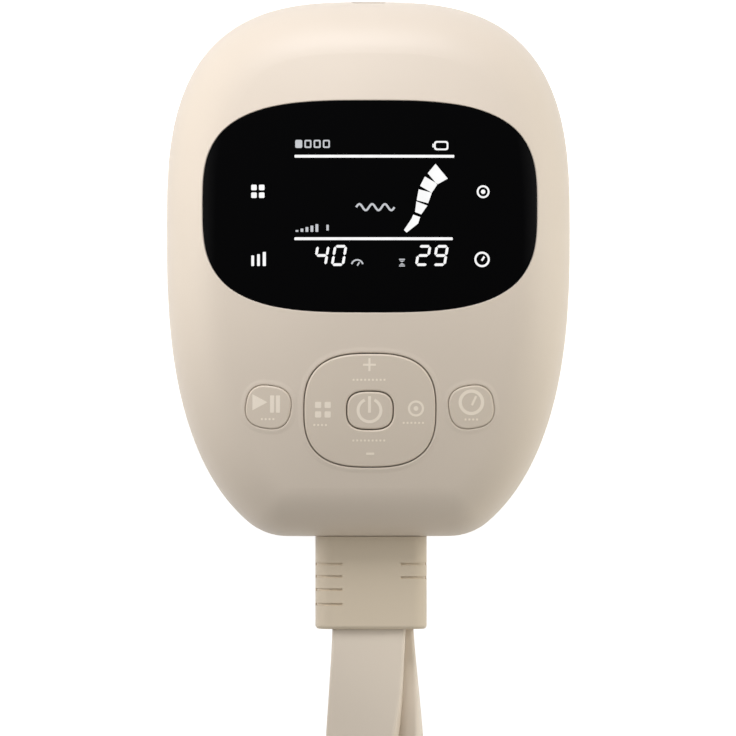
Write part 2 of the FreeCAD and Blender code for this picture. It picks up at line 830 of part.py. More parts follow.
# ---- battery ----
def battery(inner_room):
    half = cell_length / 2
    cells = []
    tray_low_y = cell_rows[0] - cell_radius - tray_wall
    tray_high_y = cell_rows[1] + cell_radius + tray_wall
    tray = block((-half - tray_wall, tray_low_y, floor_z), (half + tray_wall, tray_high_y, tray_top))
    for y in cell_rows:
        can = rod((-half, y, cell_z), (half - nub_height, y, cell_z), cell_radius)
        cells.append(can.fuse(rod((half - nub_height, y, cell_z), (half, y, cell_z), nub_radius)))
        tray = tray.cut(rod((-half - cell_clearance, y, cell_z), (half + cell_clearance, y, cell_z),
                            cell_radius + cell_clearance))
    save("battery_cells", cells)
    save("battery_holder", [tray.common(inner_room)])


def lead_path(points):
    """Straight runs joined by tangent arcs."""
    corners = [Vector(*p) for p in points]
    edges = []
    radii = []
    start = corners[0]
    for before, corner, after in zip(corners, corners[1:], corners[2:]):
        back = (before - corner).normalize()
        on = (after - corner).normalize()
        turn = math.pi - back.getAngle(on)
        run = min((before - corner).Length, (after - corner).Length)
        cut = bend_share * run
        radius = cut / math.tan(turn / 2)
        radii.append(radius)
        first = corner + back * cut
        last = corner + on * cut
        middle = (back + on).normalize() * (radius / math.cos(turn / 2) - radius) + corner
        edges.append(Part.LineSegment(start, first).toShape())
        edges.append(Part.Arc(first, middle, last).toShape())
        start = last
    edges.append(Part.LineSegment(start, corners[-1]).toShape())
    return Part.Wire(edges), radii


def swept(points, radius):
    wire = lead_path(points)[0]
    direction = Vector(*points[1]) - Vector(*points[0])
    circle = Part.Wire(Part.Circle(Vector(*points[0]), direction, radius).toShape())
    return wire.makePipeShell([circle], True, False)


def hollow_line(points, bore):
    """An air line with a wall, open from end to end."""
    return swept(points, bore + hose_wall).cut(swept(points, bore))


def leads():
    under = board_top - board_thickness
    size_x, size_y, size_z = connector_size
    tray_front = cell_rows[0] - cell_radius - tray_wall
    entry_y = tray_front - battery_lead_reach
    x = battery_lead_x
    connectors = [block((x - size_x / 2, entry_y - size_y / 2, under - size_z),
                        (x + size_x / 2, entry_y + size_y / 2, under))]
    lines = [swept(((x, tray_front, battery_lead_z), (x, entry_y + lead_lean, battery_lead_z),
                    (x, entry_y, battery_lead_bend_z), (x, entry_y, under - size_z)), lead_radius)]
    entry_y = motor_back_y - motor_boss - pump_lead_reach
    exit_z = pump_z - pump_lead_drop
    x = pump_lead_x
    connectors.append(block((x - size_x / 2, entry_y - size_y / 2, under - size_z),
                            (x + size_x / 2, entry_y + size_y / 2, under)))
    lines.append(swept(((x, motor_back_y, exit_z), (x, entry_y + lead_lean, exit_z),
                        (x, entry_y, pump_z + pump_lead_rise), (x, entry_y, under - size_z)), lead_radius))
    save("board_connectors", connectors)
    save("inner_leads", lines)


# ---- pump ----
def pump():
    x = pump_x
    z = pump_z
    front_y = motor_back_y + motor_length
    motor = rod((x, motor_back_y, z), (x, front_y, z), motor_radius)
    motor = motor.makeFillet(motor_edge_radius, edges_at_y(motor, motor_back_y))
    motor = motor.fuse(rod((x, motor_back_y - motor_boss, z), (x, motor_back_y, z), motor_boss_radius))
    bore_y = motor_back_y + motor_bore_start
    motor = motor.cut(rod((x, bore_y, z), (x, front_y, z), shaft_radius + shaft_clearance))
    save("pump_motor", [motor])
    cam_y = front_y + eccentric_gap
    shaft = rod((x, bore_y + shaft_end_gap, z), (x, cam_y, z), shaft_radius)
    cam = rod((x, cam_y, z + eccentric_offset), (x, cam_y + eccentric_length, z + eccentric_offset),
              eccentric_radius)
    save("pump_shaft", [shaft.fuse(cam)])
    head_end = front_y + head_length
    head = pump_block(front_y, head_end)
    head = head.cut(rod((x, front_y + head_wall, z), (x, head_end, z), head_bore))
    head = head.cut(rod((x, front_y, z), (x, head_end, z), shaft_radius + shaft_room))
    save("pump_head", [head])
    plate_y = cam_y + eccentric_length + wobble_gap
    plate = rod((x, plate_y, z), (x, plate_y + wobble_thickness, z), wobble_radius)
    for i in range(wobble_feet):
        angle = math.radians(wobble_first_foot + 360 / wobble_feet * i)
        foot_x = x + wobble_foot_offset * math.cos(angle)
        foot_z = z + wobble_foot_offset * math.sin(angle)
        plate = plate.fuse(rod((foot_x, plate_y, foot_z), (foot_x, head_end, foot_z), wobble_foot_radius))
    save("wobble_plate", [plate])
    skin_end = head_end + diaphragm_thickness
    save("pump_diaphragm", [pump_block(head_end, skin_end)])
    cover_end = skin_end + cover_length
    cover = pump_block(skin_end, cover_end)
    cover = cover.cut(rod((x, skin_end, z), (x, cover_end - head_wall, z), head_bore))
    port_z = manifold_port_z()
    tip = (x + head_half + port_length, pump_port_y, port_z)
    nozzle = rod((x + head_bore - past, pump_port_y, port_z), tip, port_radius)
    bore = rod((x, pump_port_y, port_z), tip, port_bore)
    save("pump_cover", [cover.fuse(nozzle).cut(bore)])
    mounts = []
    for start in mount_ends:
        y = motor_back_y + start
        saddle = block((x - mount_half_x, y, floor_z),
                       (x + mount_half_x, y + mount_length, floor_z + mount_height))
        mounts.append(saddle.cut(rod((x, y, z), (x, y + mount_length, z), motor_radius + mount_gap)))
    save("pump_mounts", mounts)


def pump_block(low_y, high_y):
    low = (pump_x - head_half, low_y, pump_z - head_half)
    high = (pump_x + head_half, high_y, pump_z + head_half)
    return rounded_block(low, high, head_corner, Vector(0, 1, 0))


# ---- valves and air lines ----
def valve_x(i):
    return first_valve_x + valve_pitch * i


def manifold_port_z():
    return floor_z + manifold_height / 2


def valves(inner_room):
    top = floor_z + manifold_height
    low_x = manifold_low_x()
    high_x = valve_x(valve_count - 1) + valve_half_x
    near_y = valve_y - valve_half_y - manifold_margin
    far_y = valve_y + valve_half_y + manifold_margin
    plate = block((low_x, near_y, floor_z), (high_x, far_y, top)).common(inner_room)
    port_z = manifold_port_z()
    tip = (low_x - port_length, pump_port_y, port_z)
    ports = [rod(tip, (low_x + past, pump_port_y, port_z), port_radius)]
    bores = [rod(tip, (low_x + port_reach, pump_port_y, port_z), port_bore)]
    for i in range(hose_lines):
        x = outlet_start + outlet_pitch * i
        tip = (x, near_y - port_length, port_z)
        ports.append(rod(tip, (x, near_y + past, port_z), port_radius))
        bores.append(rod(tip, (x, near_y + port_reach, port_z), port_bore))
    for i in range(valve_count):
        bores.append(rod((valve_x(i), valve_y, top - port_sink), (valve_x(i), valve_y, top), port_bore))
    sensor_x, sensor_y = sensor_place()
    tip = (sensor_x, sensor_y, top + port_length)
    ports.append(rod((sensor_x, sensor_y, top - past), tip, port_radius))
    bores.append(rod((sensor_x, sensor_y, top - port_sink), tip, port_bore))
    plate = plate.fuse(ports)
    for bore in bores:
        plate = plate.cut(bore)
    save("valve_manifold", [plate])
    save("valve_bodies", [valve(i, valve_x(i), top) for i in range(valve_count)])


def valve(i, x, bottom):
    """One valve: returns its body, and keeps its plunger and spring."""
    body_top = bottom + valve_height
    body = block((x - valve_half_x, valve_y - valve_half_y, bottom),
                 (x + valve_half_x, valve_y + valve_half_y, body_top))
    bore_top = body_top - valve_cap
    body = body.cut(rod((x, valve_y, bottom), (x, valve_y, bore_top), plunger_radius + plunger_clearance))
    seat = bottom + plunger_seat
    plunger_top = seat + plunger_length
    save("valve_plunger_%d" % (i + 1), [rod((x, valve_y, seat), (x, valve_y, plunger_top), plunger_radius)])
    first = plunger_top + spring_wire + spring_gap
    last = bore_top - spring_wire - spring_gap
    pitch = (last - first) / (spring_turns - 1)
    middle = spring_radius - spring_wire
    coils = [ring_solid((x, valve_y, first + j * pitch), (0, 0, 1), middle, spring_wire)
             for j in range(spring_turns)]
    post = rod((x - middle, valve_y, first), (x - middle, valve_y, last), spring_post_radius)
    save("valve_spring_%d" % (i + 1), [post.fuse(coils)])
    return body


def sensor_place():
    return first_valve_x - valve_half_x - sensor_half - sensor_port_room / 2, valve_y


def manifold_low_x():
    return sensor_place()[0] - sensor_port_room


def air_lines():
    port_z = manifold_port_z()
    low_x = manifold_low_x()
    near_y = valve_y - valve_half_y - manifold_margin
    bore = port_radius + hose_grip
    lines = [pipe((pump_x + head_half + line_end_gap, pump_port_y, port_z),
                  (low_x - line_end_gap, pump_port_y, port_z), bore + hose_wall, bore)]
    back_y = socket_back_y()
    for i in range(hose_lines):
        start = (outlet_start + outlet_pitch * i, near_y - line_end_gap, port_z)
        end = (outlet_x(i), back_y + line_end_gap, plug_z)
        lines.append(hollow_line((start, (start[0], start[1] - line_bend, port_z),
                                  (end[0], end[1] + line_bend, plug_z), end), bore))
    sensor_x, sensor_y = sensor_place()
    low = floor_z + manifold_height + line_end_gap
    under = board_top - board_thickness
    high = under - sensor_height - line_end_gap
    lines.append(pipe((sensor_x, sensor_y, low), (sensor_x, sensor_y, high), bore + hose_wall, bore))
    save("air_tubes", lines)
    can = block((sensor_x - sensor_half, sensor_y - sensor_half, under - sensor_height),
                (sensor_x + sensor_half, sensor_y + sensor_half, under))
    tip = (sensor_x, sensor_y, under - sensor_height - port_length)
    nozzle = rod(tip, (sensor_x, sensor_y, under - past), port_radius)
    hole = rod(tip, (sensor_x, sensor_y, under - port_sink), port_bore)
    save("pressure_sensor", [can.fuse(nozzle).cut(hole)])


# ---- socket, plug and hoses ----
def outlet_x(i):
    return plug_x + outlet_pitch * (i - (hose_lines - 1) / 2)


def socket_front_y():
    return base_y + wall


def insert_tip_y():
    return base_y - plug_gap + insert_length


def socket_back_y():
    return insert_tip_y() + insert_end_gap + socket_back


def air_socket(inner_room):
    front = socket_front_y()
    hollow_end = insert_tip_y() + insert_end_gap
    back = socket_back_y()
    outside = insert_clearance + socket_wall
    socket = plug_slot(insert_half_x + outside, insert_half_z + outside, socket_corner, front, back)
    socket = socket.common(inner_room)
    socket = socket.cut(plug_slot(insert_half_x + insert_clearance, insert_half_z + insert_clearance,
                                  insert_corner, front - past, hollow_end))
    seals = []
    for i in range(hose_lines):
        x = outlet_x(i)
        tip = hollow_end - nipple_length
        socket = socket.fuse(rod((x, tip, plug_z), (x, hollow_end + past, plug_z), nipple_radius))
        socket = socket.fuse(rod((x, back - past, plug_z), (x, back + port_length, plug_z), port_radius))
        seals.append(ring_solid((x, hollow_end - seal_gap - seal_wire, plug_z), (0, 1, 0),
                                nipple_radius + seal_wire + seal_clearance, seal_wire))
    for i in range(hose_lines):
        x = outlet_x(i)
        socket = socket.cut(rod((x, hollow_end - nipple_length, plug_z),
                                (x, back + port_length, plug_z), port_bore))
    save("air_socket", [socket])
    save("socket_seals", seals)


def hose_plug():
    near = base_y - plug_gap
    far = near - plug_length
    grip = plug_slot(plug_half_x, plug_half_z, plug_corner, far, near)
    grip = grip.makeFillet(plug_end_radius, edges_at_y(grip, far))
    skin = grip.cut(plug_slot(plug_half_x - grip_groove_depth, plug_half_z - grip_groove_depth,
                              plug_corner - grip_groove_depth, far - past, near + past))
    for side, places in ((-1, left_grooves), (1, right_grooves)):
        for y in places:
            ends = sorted((side * (plug_half_x + past), side * (plug_half_x - grip_groove_reach)))
            groove = block((plug_x + ends[0], y - grip_groove_half, plug_z),
                           (plug_x + ends[1], y + grip_groove_half, plug_z + plug_half_z + past))
            grip = grip.cut(skin.common(groove))
    tip = insert_tip_y()
    insert = plug_slot(insert_half_x, insert_half_z, insert_corner, near - past, tip)
    plug = grip.fuse(insert).removeSplitter()
    for x, y, z in (front_route[0], rear_route[0]):
        half_x = ribbon_width / 2 + throat_clearance
        half_z = ribbon_thickness / 2 + throat_clearance / 2
        plug = plug.cut(block((x - half_x, far - past, z - half_z),
                              (x + half_x, far + throat_depth, z + half_z)))
    for i in range(hose_lines):
        x = outlet_x(i)
        plug = plug.cut(rod((x, tip - nipple_length - past, plug_z), (x, tip + past, plug_z),
                            nipple_radius + nipple_clearance))
    save("hose_plug", [plug])


def ribbon_section(point, direction, twist):
    """The flat hose's rectangle across its path, turned about it."""
    level = direction.cross(Vector(0, 0, 1)).normalize() * -1
    upright = direction.cross(level).normalize()
    wide = level * math.cos(twist) + upright * math.sin(twist)
    thick = upright * math.cos(twist) - level * math.sin(twist)
    corners = []
    for across, through in ((1, 1), (-1, 1), (-1, -1), (1, -1)):
        side = point + wide * (across * ribbon_width / 2)
        corners.append(side + thick * (through * ribbon_thickness / 2))
    return Part.makePolygon(corners + [corners[0]])


def hose_lead(node, route):
    """The loose stretch of a hose, which turns from flat to on edge as it comes down."""
    wire, radii = lead_path(route)
    print(node, "radii", [round(r, 1) for r in radii])
    sections = []
    travelled = 0.0
    for edge in wire.OrderedEdges:
        steps = max(1, round(edge.Length / section_step))
        first = 1 if sections else 0
        for i in range(first, steps + 1):
            at = edge.getParameterByLength(edge.Length * i / steps)
            share = min(1.0, (travelled + edge.Length * i / steps) / twist_length)
            twist = math.pi / 2 * (3 * share ** 2 - 2 * share ** 3)
            sections.append(ribbon_section(edge.valueAt(at), edge.tangentAt(at).normalize(), twist))
        travelled += edge.Length
    solid = Part.makeLoft(sections, True, True)
    straight_volume = ribbon_width * ribbon_thickness * travelled
    print(node, "volume ratio", round(solid.Volume / straight_volume, 4), "length", round(travelled, 1))
    save(node, [solid])


def hose_coil(hose, route, side):
    """The outer shape of a flat coil on edge, its tie, and the leg connector in its middle."""
    entry = Vector(*route[-1])
    centre = entry + Vector(side * coil_outer, 0, 0)
    low = entry.z - ribbon_width / 2
    base = Vector(centre.x, centre.y, low)
    outer = coil_outer + ribbon_thickness / 2 + coil_slack
    inner = coil_inner - ribbon_thickness / 2 - coil_slack
    coil = Part.makeCylinder(outer, ribbon_width, base).cut(Part.makeCylinder(inner, ribbon_width, base))
    reach = side * (ribbon_thickness / 2 + coil_entry_gap)
    notch = sorted((entry.x + reach, entry.x - side * outer))
    coil = coil.cut(block((notch[0], entry.y - coil_slack, low - past),
                          (notch[1], entry.y + outer, low + ribbon_width + past)))
    save("hose_%s_coil" % hose, [coil])
    leg_connector(hose, centre, side, inner)
    return coil_tie(centre, low, inner, outer, side)


def coil_tie(centre, low, inner, outer, side):
    far = outer + coil_slack
    near = inner - 3 * coil_slack
    bottom = low - tie_clearance
    top = low + ribbon_width + tie_clearance
    strap = block((near - tie_thickness, -tie_width / 2, bottom - tie_thickness),
                  (far + tie_thickness, tie_width / 2, top + tie_thickness))
    strap = strap.cut(block((near, -tie_width, bottom), (far, tie_width, top)))
    angle = tie_angle if side < 0 else 180 - tie_angle
    strap.rotate(Vector(0, 0, 0), Vector(0, 0, 1), angle)
    strap.translate(Vector(centre.x, centre.y, 0))
    return strap


def leg_connector(hose, centre, side, inner):
    """A plug on edge, lying along a chord of the coil's hole."""
    half_length = (leg_plug_length + leg_port_length) / 2
    corner_reach = math.sqrt((inner - coil_slack) ** 2 - half_length ** 2)
    middle = corner_reach - leg_plug_thickness / 2
    body = rounded_block((-half_length, middle - leg_plug_thickness / 2, 0),
                         (-half_length + leg_plug_length, middle + leg_plug_thickness / 2, leg_plug_height),
                         leg_plug_corner, Vector(0, 0, 1))
    tip = half_length
    for i in range(hose_lines):
        z = leg_plug_height / 2 + leg_port_pitch * (i - (hose_lines - 1) / 2)
        body = body.fuse(rod((tip - leg_port_length - past, middle, z), (tip, middle, z), leg_port_radius))
        body = body.cut(rod((tip - leg_port_length - past, middle, z), (tip, middle, z), leg_port_bore))
    start = math.atan2(half_length, middle)
    turned = 360 * coil_turns + leg_plug_turn + math.degrees(start)
    if side < 0:
        body.rotate(Vector(0, 0, 0), Vector(0, 0, 1), -90 - turned)
    else:
        body = body.mirror(Vector(0, 0, 0), Vector(1, 0, 0))
        body.rotate(Vector(0, 0, 0), Vector(0, 0, 1), 90 + turned)
    body.translate(Vector(centre.x, centre.y, 0))
    save("%s_leg_connector" % hose, [body])


def hoses():
    hose_lead("hose_front_lead", front_route)
    hose_lead("hose_rear_lead", rear_route)
    ties = [hose_coil("front", front_route, -1), hose_coil("rear", rear_route, 1)]
    save("coil_ties", ties)


# ---- the whole ----
def build():
    outer = pebble(0.0)
    inner = pebble(wall)
    inner_room = pebble(wall + lens_gap)
    front_shell(outer, inner)
    rear_shell(outer, inner)
    feet_and_screws()
    display(outer)
    side_key("left", "play_pause_button", -1)
    side_key("right", "timer_button", 1)
    power_button()
    rocker_ring()
    rocker_carrier()
    key_frame()
    domes()
    boards(inner_room)
    charge_port(head_y - wall)
    battery(inner_room)
    leads()
    pump()
    valves(inner_room)
    air_lines()
    air_socket(inner_room)
    hose_plug()
    hoses()


build()
os.makedirs("parts", exist_ok=True)
for name, shape in bodies.items():
    shape.exportStep(os.path.join("parts", name + ".step"))
    print(name, "valid" if shape.isValid() else "NOT VALID", len(shape.Solids), round(shape.Volume, 1))
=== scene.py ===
import math

import bpy
import bmesh
from mathutils import Matrix, Vector
from mathutils.geometry import delaunay_2d_cdt

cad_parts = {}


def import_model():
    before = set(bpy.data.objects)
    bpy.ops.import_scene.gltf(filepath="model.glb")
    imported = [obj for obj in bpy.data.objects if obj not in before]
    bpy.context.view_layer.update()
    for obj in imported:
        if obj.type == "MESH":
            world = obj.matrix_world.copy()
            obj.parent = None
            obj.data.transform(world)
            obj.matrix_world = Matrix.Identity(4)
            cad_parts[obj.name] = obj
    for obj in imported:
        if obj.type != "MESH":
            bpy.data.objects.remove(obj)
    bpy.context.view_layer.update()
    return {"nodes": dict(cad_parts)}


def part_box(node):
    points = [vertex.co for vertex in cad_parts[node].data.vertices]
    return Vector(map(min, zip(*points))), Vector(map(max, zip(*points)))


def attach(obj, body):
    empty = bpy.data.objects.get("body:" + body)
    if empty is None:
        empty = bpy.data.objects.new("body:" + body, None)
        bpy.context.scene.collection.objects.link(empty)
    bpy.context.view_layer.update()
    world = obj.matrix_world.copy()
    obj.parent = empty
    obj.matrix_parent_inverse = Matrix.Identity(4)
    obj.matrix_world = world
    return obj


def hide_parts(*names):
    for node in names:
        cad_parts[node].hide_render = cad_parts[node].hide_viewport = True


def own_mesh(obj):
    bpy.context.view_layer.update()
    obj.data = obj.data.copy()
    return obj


# Compression therapy pump: its looks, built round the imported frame.
# The controller lies on its back: +Z points out of the display, +Y to the head, +X to the viewer's right.
# Lengths are in metres. Those of the marks and of the rims are in millimetres, as their headings say.

MM = 0.001
TURN = 2 * math.pi

# ---- camera ----
PHOTO_PIXELS = 736
PIXEL_SIZE = 0.27295 * MM           # one pixel of the view, at the height of the housing's rim
VIEW_CENTRE = (-0.2 * MM, -27.0 * MM)
RIM_HEIGHT = 30.0 * MM
SENSOR = 36.0
LENS = 600.0
CAMERA_LEAN = math.radians(1.3)     # towards the object's left
CLIP_START = 0.1
CLIP_END = 50.0

# ---- light ----
WORLD_LEVEL = 0.26                  # of the even sky that lights the object
ZENITH_LEVEL = 0.12                 # of the sky overhead, as it is mirrored in gloss
WHITE_BELOW = 0.35                  # how high in that sky it is still white, from 0 at the horizon to 1
DIM_ABOVE = 0.85                    # and how high it starts to be as dim as overhead
FLOOR_RADIUS = 12.0
FLOOR_STEPS = 96
FLOOR_COLOUR = (0.60, 0.60, 0.60)
FLOOR_ROUGHNESS = 0.9
FLOOR_GLOW = 0.85                   # what the floor adds to its own lit colour, for the camera
LIGHT_TARGET = (0.0, 0.0, 0.03)
WHITE = (1.0, 1.0, 1.0)
NEUTRAL = (1.0, 1.0, 1.04)
WARM = (1.02, 1.0, 0.93)
# each lamp's place, size, power and colour, and whether it is mirrored in the gloss
LIGHTS = {
    "head_light": ((-0.02, 0.265, 0.245), 0.15, 0.74, NEUTRAL, True),
    "left_light": ((-0.22, 0.0, 0.15), 0.15, 0.16, NEUTRAL, False),
    "low_left_light": ((-0.20, 0.02, 0.10), 0.12, 0.08, WARM, False),
    "right_light": ((0.22, 0.0, 0.09), 0.12, 0.17, WARM, False),
    "base_light": ((0.14, -0.26, 0.12), 0.15, 0.105, WARM, False),
}

# ---- materials ----
GRAIN = 0.35 * MM                   # the size of moulded plastic's pores
GRAIN_DEPTH = 0.02 * MM
BUMP_STRENGTH = 0.5
DRIFT_SCALE = 30.0                  # of the slow change in a plastic's colour and gloss
DRIFT_DETAIL = 4.0
MOTTLE = 0.03                       # the share by which a plastic's colour drifts each way
PLASTIC_GLOSS_DRIFT = 0.05
BRUSH_SCALE = 900.0
METAL_GLOSS_DRIFT = 0.08
LENS_COLOUR = (0.001, 0.001, 0.0012)
LENS_SPECULAR = 0.15
LENS_ROUGHNESS = 0.10
LENS_GLOSS_DRIFT = 0.04
DUST_SCALE = 60.0
DUST_DETAIL = 8.0
UNLIT_COLOUR = (0.05, 0.05, 0.05)
UNLIT_ROUGHNESS = 0.4
GLOW_SCALE = 400.0
GLOW_DRIFT = 0.1                    # the share by which a lit mark's glow drifts each way
SHARP_ANGLE = math.radians(40)

# ---- the housing's crown ----
CROWN_RADIUS = 260.0 * MM
CROWN_CENTRE_Y = 8.0 * MM

# ---- hoses: the frame's routes, with their first points moved by up to 0.8 mm ----
FRONT_ROUTE = (
    (0.0003, -0.0976, 0.0207), (-0.0004, -0.1160, 0.0201), (-0.0024, -0.1360, 0.0166),
    (-0.0034, -0.1580, 0.0124), (-0.0030, -0.1800, 0.0110), (-0.0033, -0.2000, 0.0108),
)
REAR_ROUTE = (
    (0.0025, -0.0976, 0.0143), (0.0040, -0.1160, 0.0136), (0.0064, -0.1360, 0.0122),
    (0.0075, -0.1580, 0.0114), (0.0061, -0.1800, 0.0109), (0.0065, -0.2000, 0.0108),
)
# from the coil's last turn to the connector, measured from the coil's centre for a coil on the left
TAIL_ROUTE = (
    (-0.0294, 0.0277), (-0.0204, 0.0328), (-0.0102, 0.0339), (-0.0050, 0.0315), (-0.0036, 0.0310),
)
HOSE_WIDTH = 20.0 * MM
HOSE_THICKNESS = 5.0 * MM
HOSE_EDGE = 1.1 * MM
TWIST_LENGTH = 92.0 * MM            # over which a hose turns from flat to on edge
COIL_OUTER = 59.5 * MM              # radius of a coil's line at its start
COIL_INNER = 40.0 * MM              # and at its end
COIL_TURNS = 2.6
COIL_STEPS = 24                     # control points per turn
COIL_LAST = round(COIL_TURNS * COIL_STEPS)
# control points lie outside the line that they guide, by this factor
COIL_OUTWARD = 8 / (6 + 2 * math.cos(TURN / COIL_STEPS))
LINE_STEPS = 8                      # points read from the smooth line per control point

# ---- the ties: straps pulled tight round a coil's turns ----
TIE_TURNED = math.radians(145.0)    # from the coil's start to its tie
TIE_HALF_WIDTH = 6.0 * MM
TIE_THICKNESS = 0.7 * MM
TIE_GAP = 0.2 * MM                  # at the sides of the turns
TIE_CLEARANCE = 0.05 * MM           # over and under them
TIE_CORNER = 1.2 * MM
# across the strap: a share of its half width, and how full its thickness is there
TIE_STATIONS = ((-1.0, 0.3), (-0.98, 0.8), (-0.94, 1.0), (-0.5, 1.0), (0.0, 1.0), (0.5, 1.0), (0.94, 1.0),
                (0.98, 0.8), (1.0, 0.3))
LAP_REACH = 7.0 * MM                # half the length of the strap's lapped end
LAP_SHIFT = 3.0 * MM                # of its middle, from the middle turn outwards
LAP_WIDTH = 0.94                    # a share of the strap's width

# ---- marks: their sizes are in millimetres ----
MARK_EDGE = 1.5                     # the longest edge that an outline keeps
MARK_DEPTH = 0.08
LENS_LIFT = 0.03                    # of the display's marks over the crown
KEY_LIFT = 0.32                     # of the keys' print; the keys stand 0.3 above the crown
FILL_TOLERANCE = 1e-5
CIRCLE_STEPS = 36
CORNER_STEPS = 4
WAVE_STEPS = 16                     # per turn
BAR_CORNER = 0.15
SQUARE_CORNER = 0.3
DOT_PITCH = 1.05
DOT_HALF = 0.27
DOT_CORNER = 0.1
WINDOW = (0.0, 17.2)                # the middle of the window, from which the display's marks are placed
KEYS = (0.0, -38.5)                 # the middle of the ring and of the power button
PLAY_KEY = (-27.6, -37.6)
TIMER_KEY = (27.6, -37.6)

# seven-segment figures: each segment's ends, in steps of a width and of half a height
SEGMENT_ENDS = {"a": (0, 2, 1, 2), "b": (1, 1, 1, 2), "c": (1, 0, 1, 1), "d": (0, 0, 1, 0),
                "e": (0, 0, 0, 1), "f": (0, 1, 0, 2), "g": (0, 1, 1, 1)}
DIGIT_SEGMENTS = {"0": "abcdef", "2": "abged", "4": "fgbc", "9": "abcdfg"}
DIGIT_HEIGHT = 4.98                 # between the middles of its top and bottom strokes
DIGIT_WIDTH = 2.9
DIGIT_PITCH = 4.75
DIGIT_STROKE = 0.72
DIGIT_GAP = 0.09
DIGIT_LEAN = math.tan(math.radians(9.5))

# marks on the display; each starts with its place, x and y
RULES = ((1.15, 13.3, 21.7, 0.38), (0.9, -9.1, 21.5, 0.38))             # half width, half height
RULE_CORNER = 0.2
BATTERY = (19.3, 16.2, 1.95, 1.25, 0.45, 0.7)                           # half width and height, line, corner
BATTERY_TIP = (17.1, 16.2, 0.18, 0.5, 0.1)                              # half width and height, corner
PRESSURE = (-15.1, -16.15)
MINUTES = (12.5, -16.15)
MODE_SQUARES = (-30.5, 3.77, 0.75, 0.6)                                 # half size, gap
SIDE_TARGET = (30.7, 3.68, 1.75, 0.5, 0.6)                              # radius, line, dot
SIDE_CLOCK = (30.4, -14.7, 2.1, 0.55)                                   # radius, line
SIDE_HAND = (-0.1, -0.35, 0.6, 0.75, 0.55)                              # from, to, line
SIDE_BARS = ((-31.9, -15.08, 0.38, 1.43), (-30.33, -14.9, 0.37, 1.6), (-28.75, -14.6, 0.42, 1.9))
MODE_BOX = (-19.4, 16.65, 0.95, 1.1)                                    # half width, half height
MODE_BOXES = 4                      # the first is filled
MODE_PITCH = 2.5
MODE_LINE = 0.4
MODE_CORNER = 0.4
WAVE = (1.36, -0.55, 10.4, 1.7, 3, 0.55)                                # width, height, turns, line
TICKS = 5
TICK = (-19.9, -7.0, 0.38, 0.25)                                        # half width, half height
TICK_PITCH = 1.35
TICK_RISE = 0.2
TICK_CORNER = 0.12
LAST_TICK = (-11.6, -6.1, 0.32, 0.78)
GAUGE = (-3.55, -16.4)
GAUGE_ARC = (1.55, 15, 165, 0.42)                                       # radius, start, end, line
GAUGE_TIP = (-2.95, -15.5)
GAUGE_HAND = 0.4
HOURGLASS = (8.6, -15.6, 0.8, 0.75, 0.3)                                # half width and height, cap
HOURGLASS_WAIST = 0.12
HOURGLASS_CORNER = 0.1
# the leg: middle and width of each of its joints and of the foot
LEG_STATIONS = ((19.6, 9.4, 5.2), (16.7, 7.0, 4.0), (15.0, 4.1, 3.7), (14.1, 0.7, 3.2), (12.9, -2.4, 1.8))
LEG_JOINT_GAP = 0.5
FOOT_STATIONS = ((12.6, -2.9, 2.0), (12.1, -4.3, 2.2), (9.5, -7.1, 1.0))

# print on the keys, measured from the key's middle
PLUS = (-0.2, 12.4, 1.75, 0.28)                                         # reach, half width
MINUS = (0.1, -11.8, 1.1, 0.3)                                          # half width, half height
RING_SQUARES = (-12.8, 0.18, 0.85, 0.9)
RING_TARGET = (12.5, 0.5, 2.2, 0.6, 0.65)
RING_DOTS = ((-13.54, -4.0, 4.4), (11.8, -3.4, 6.3), (-0.3, 8.3, 9.4), (-0.3, -8.2, 9.4))       # width
POWER_ARC = (-0.14, 0.0, 3.1, 115, 425, 0.82)                           # radius, start, end, line
POWER_BAR = (-0.14, 1.6, 0.4, 2.25)
PLAY_TRIANGLE = [(-4.33, 3.47), (-4.33, -0.9), (-0.23, 1.3)]
PAUSE_BARS = ((1.0, 0.8, 0.55, 2.35), (2.6, 0.8, 0.55, 2.35))
PLAY_DOTS = (-0.2, -3.3, 3.8)
TIMER_CLOCK = (0.0, 1.28, 3.5, 0.9)
TIMER_HAND = (0.14, -0.82, 1.28, 1.69, 0.6)
TIMER_DOTS = (0.0, -3.4, 3.8)

# ---- rims of the key openings, in millimetres ----
RING_SHAPE = (17.8, 15.35, 2.75)    # half width, half height and exponent of the ring's outline
SIDE_KEY_SHAPE = (6.1, 5.8, 2.6)
SIDE_KEY_LEAN = math.radians(9.0)
RING_CLEARANCE = 0.29               # from the ring at rest to its rim; the ring's edge shifts as it tilts
KEY_CLEARANCE = 0.12
RIM_STEPS = 120
# a rim's section: how far each corner is out from its inner wall, and its lift over the crown
RIM_SECTION = ((0.0, -0.7), (0.0, -0.05), (0.04, 0.01), (0.27, 0.14), (0.38, 0.155), (0.9, 0.07),
               (1.5, 0.0), (1.5, -0.1), (0.5, -0.7))

# ---- soft edges on the moulded ends ----
SOFT_EDGES = {"front_leg_connector": 0.5 * MM, "rear_leg_connector": 0.5 * MM}
WELD_DISTANCE = 0.002 * MM
EDGE_SEGMENTS = 3
EDGE_ANGLE = math.radians(35)

# ---- soft parts that give way under the keys and the plungers ----
KEY_TRAVEL = 0.7 * MM
ROCKER_TRAVEL = 0.2 * MM            # over the outer edge of the rocker's domes
VALVES = 4
DOMES = {
    "power_dome": ("power_press", KEY_TRAVEL),
    "play_pause_dome": ("play_pause_press", KEY_TRAVEL),
    "timer_dome": ("timer_press", KEY_TRAVEL),
    "level_domes": ("level_tilt", ROCKER_TRAVEL),
    "mode_domes": ("mode_tilt", ROCKER_TRAVEL),
}

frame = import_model()
CROWN_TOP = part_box("display_lens")[1].z


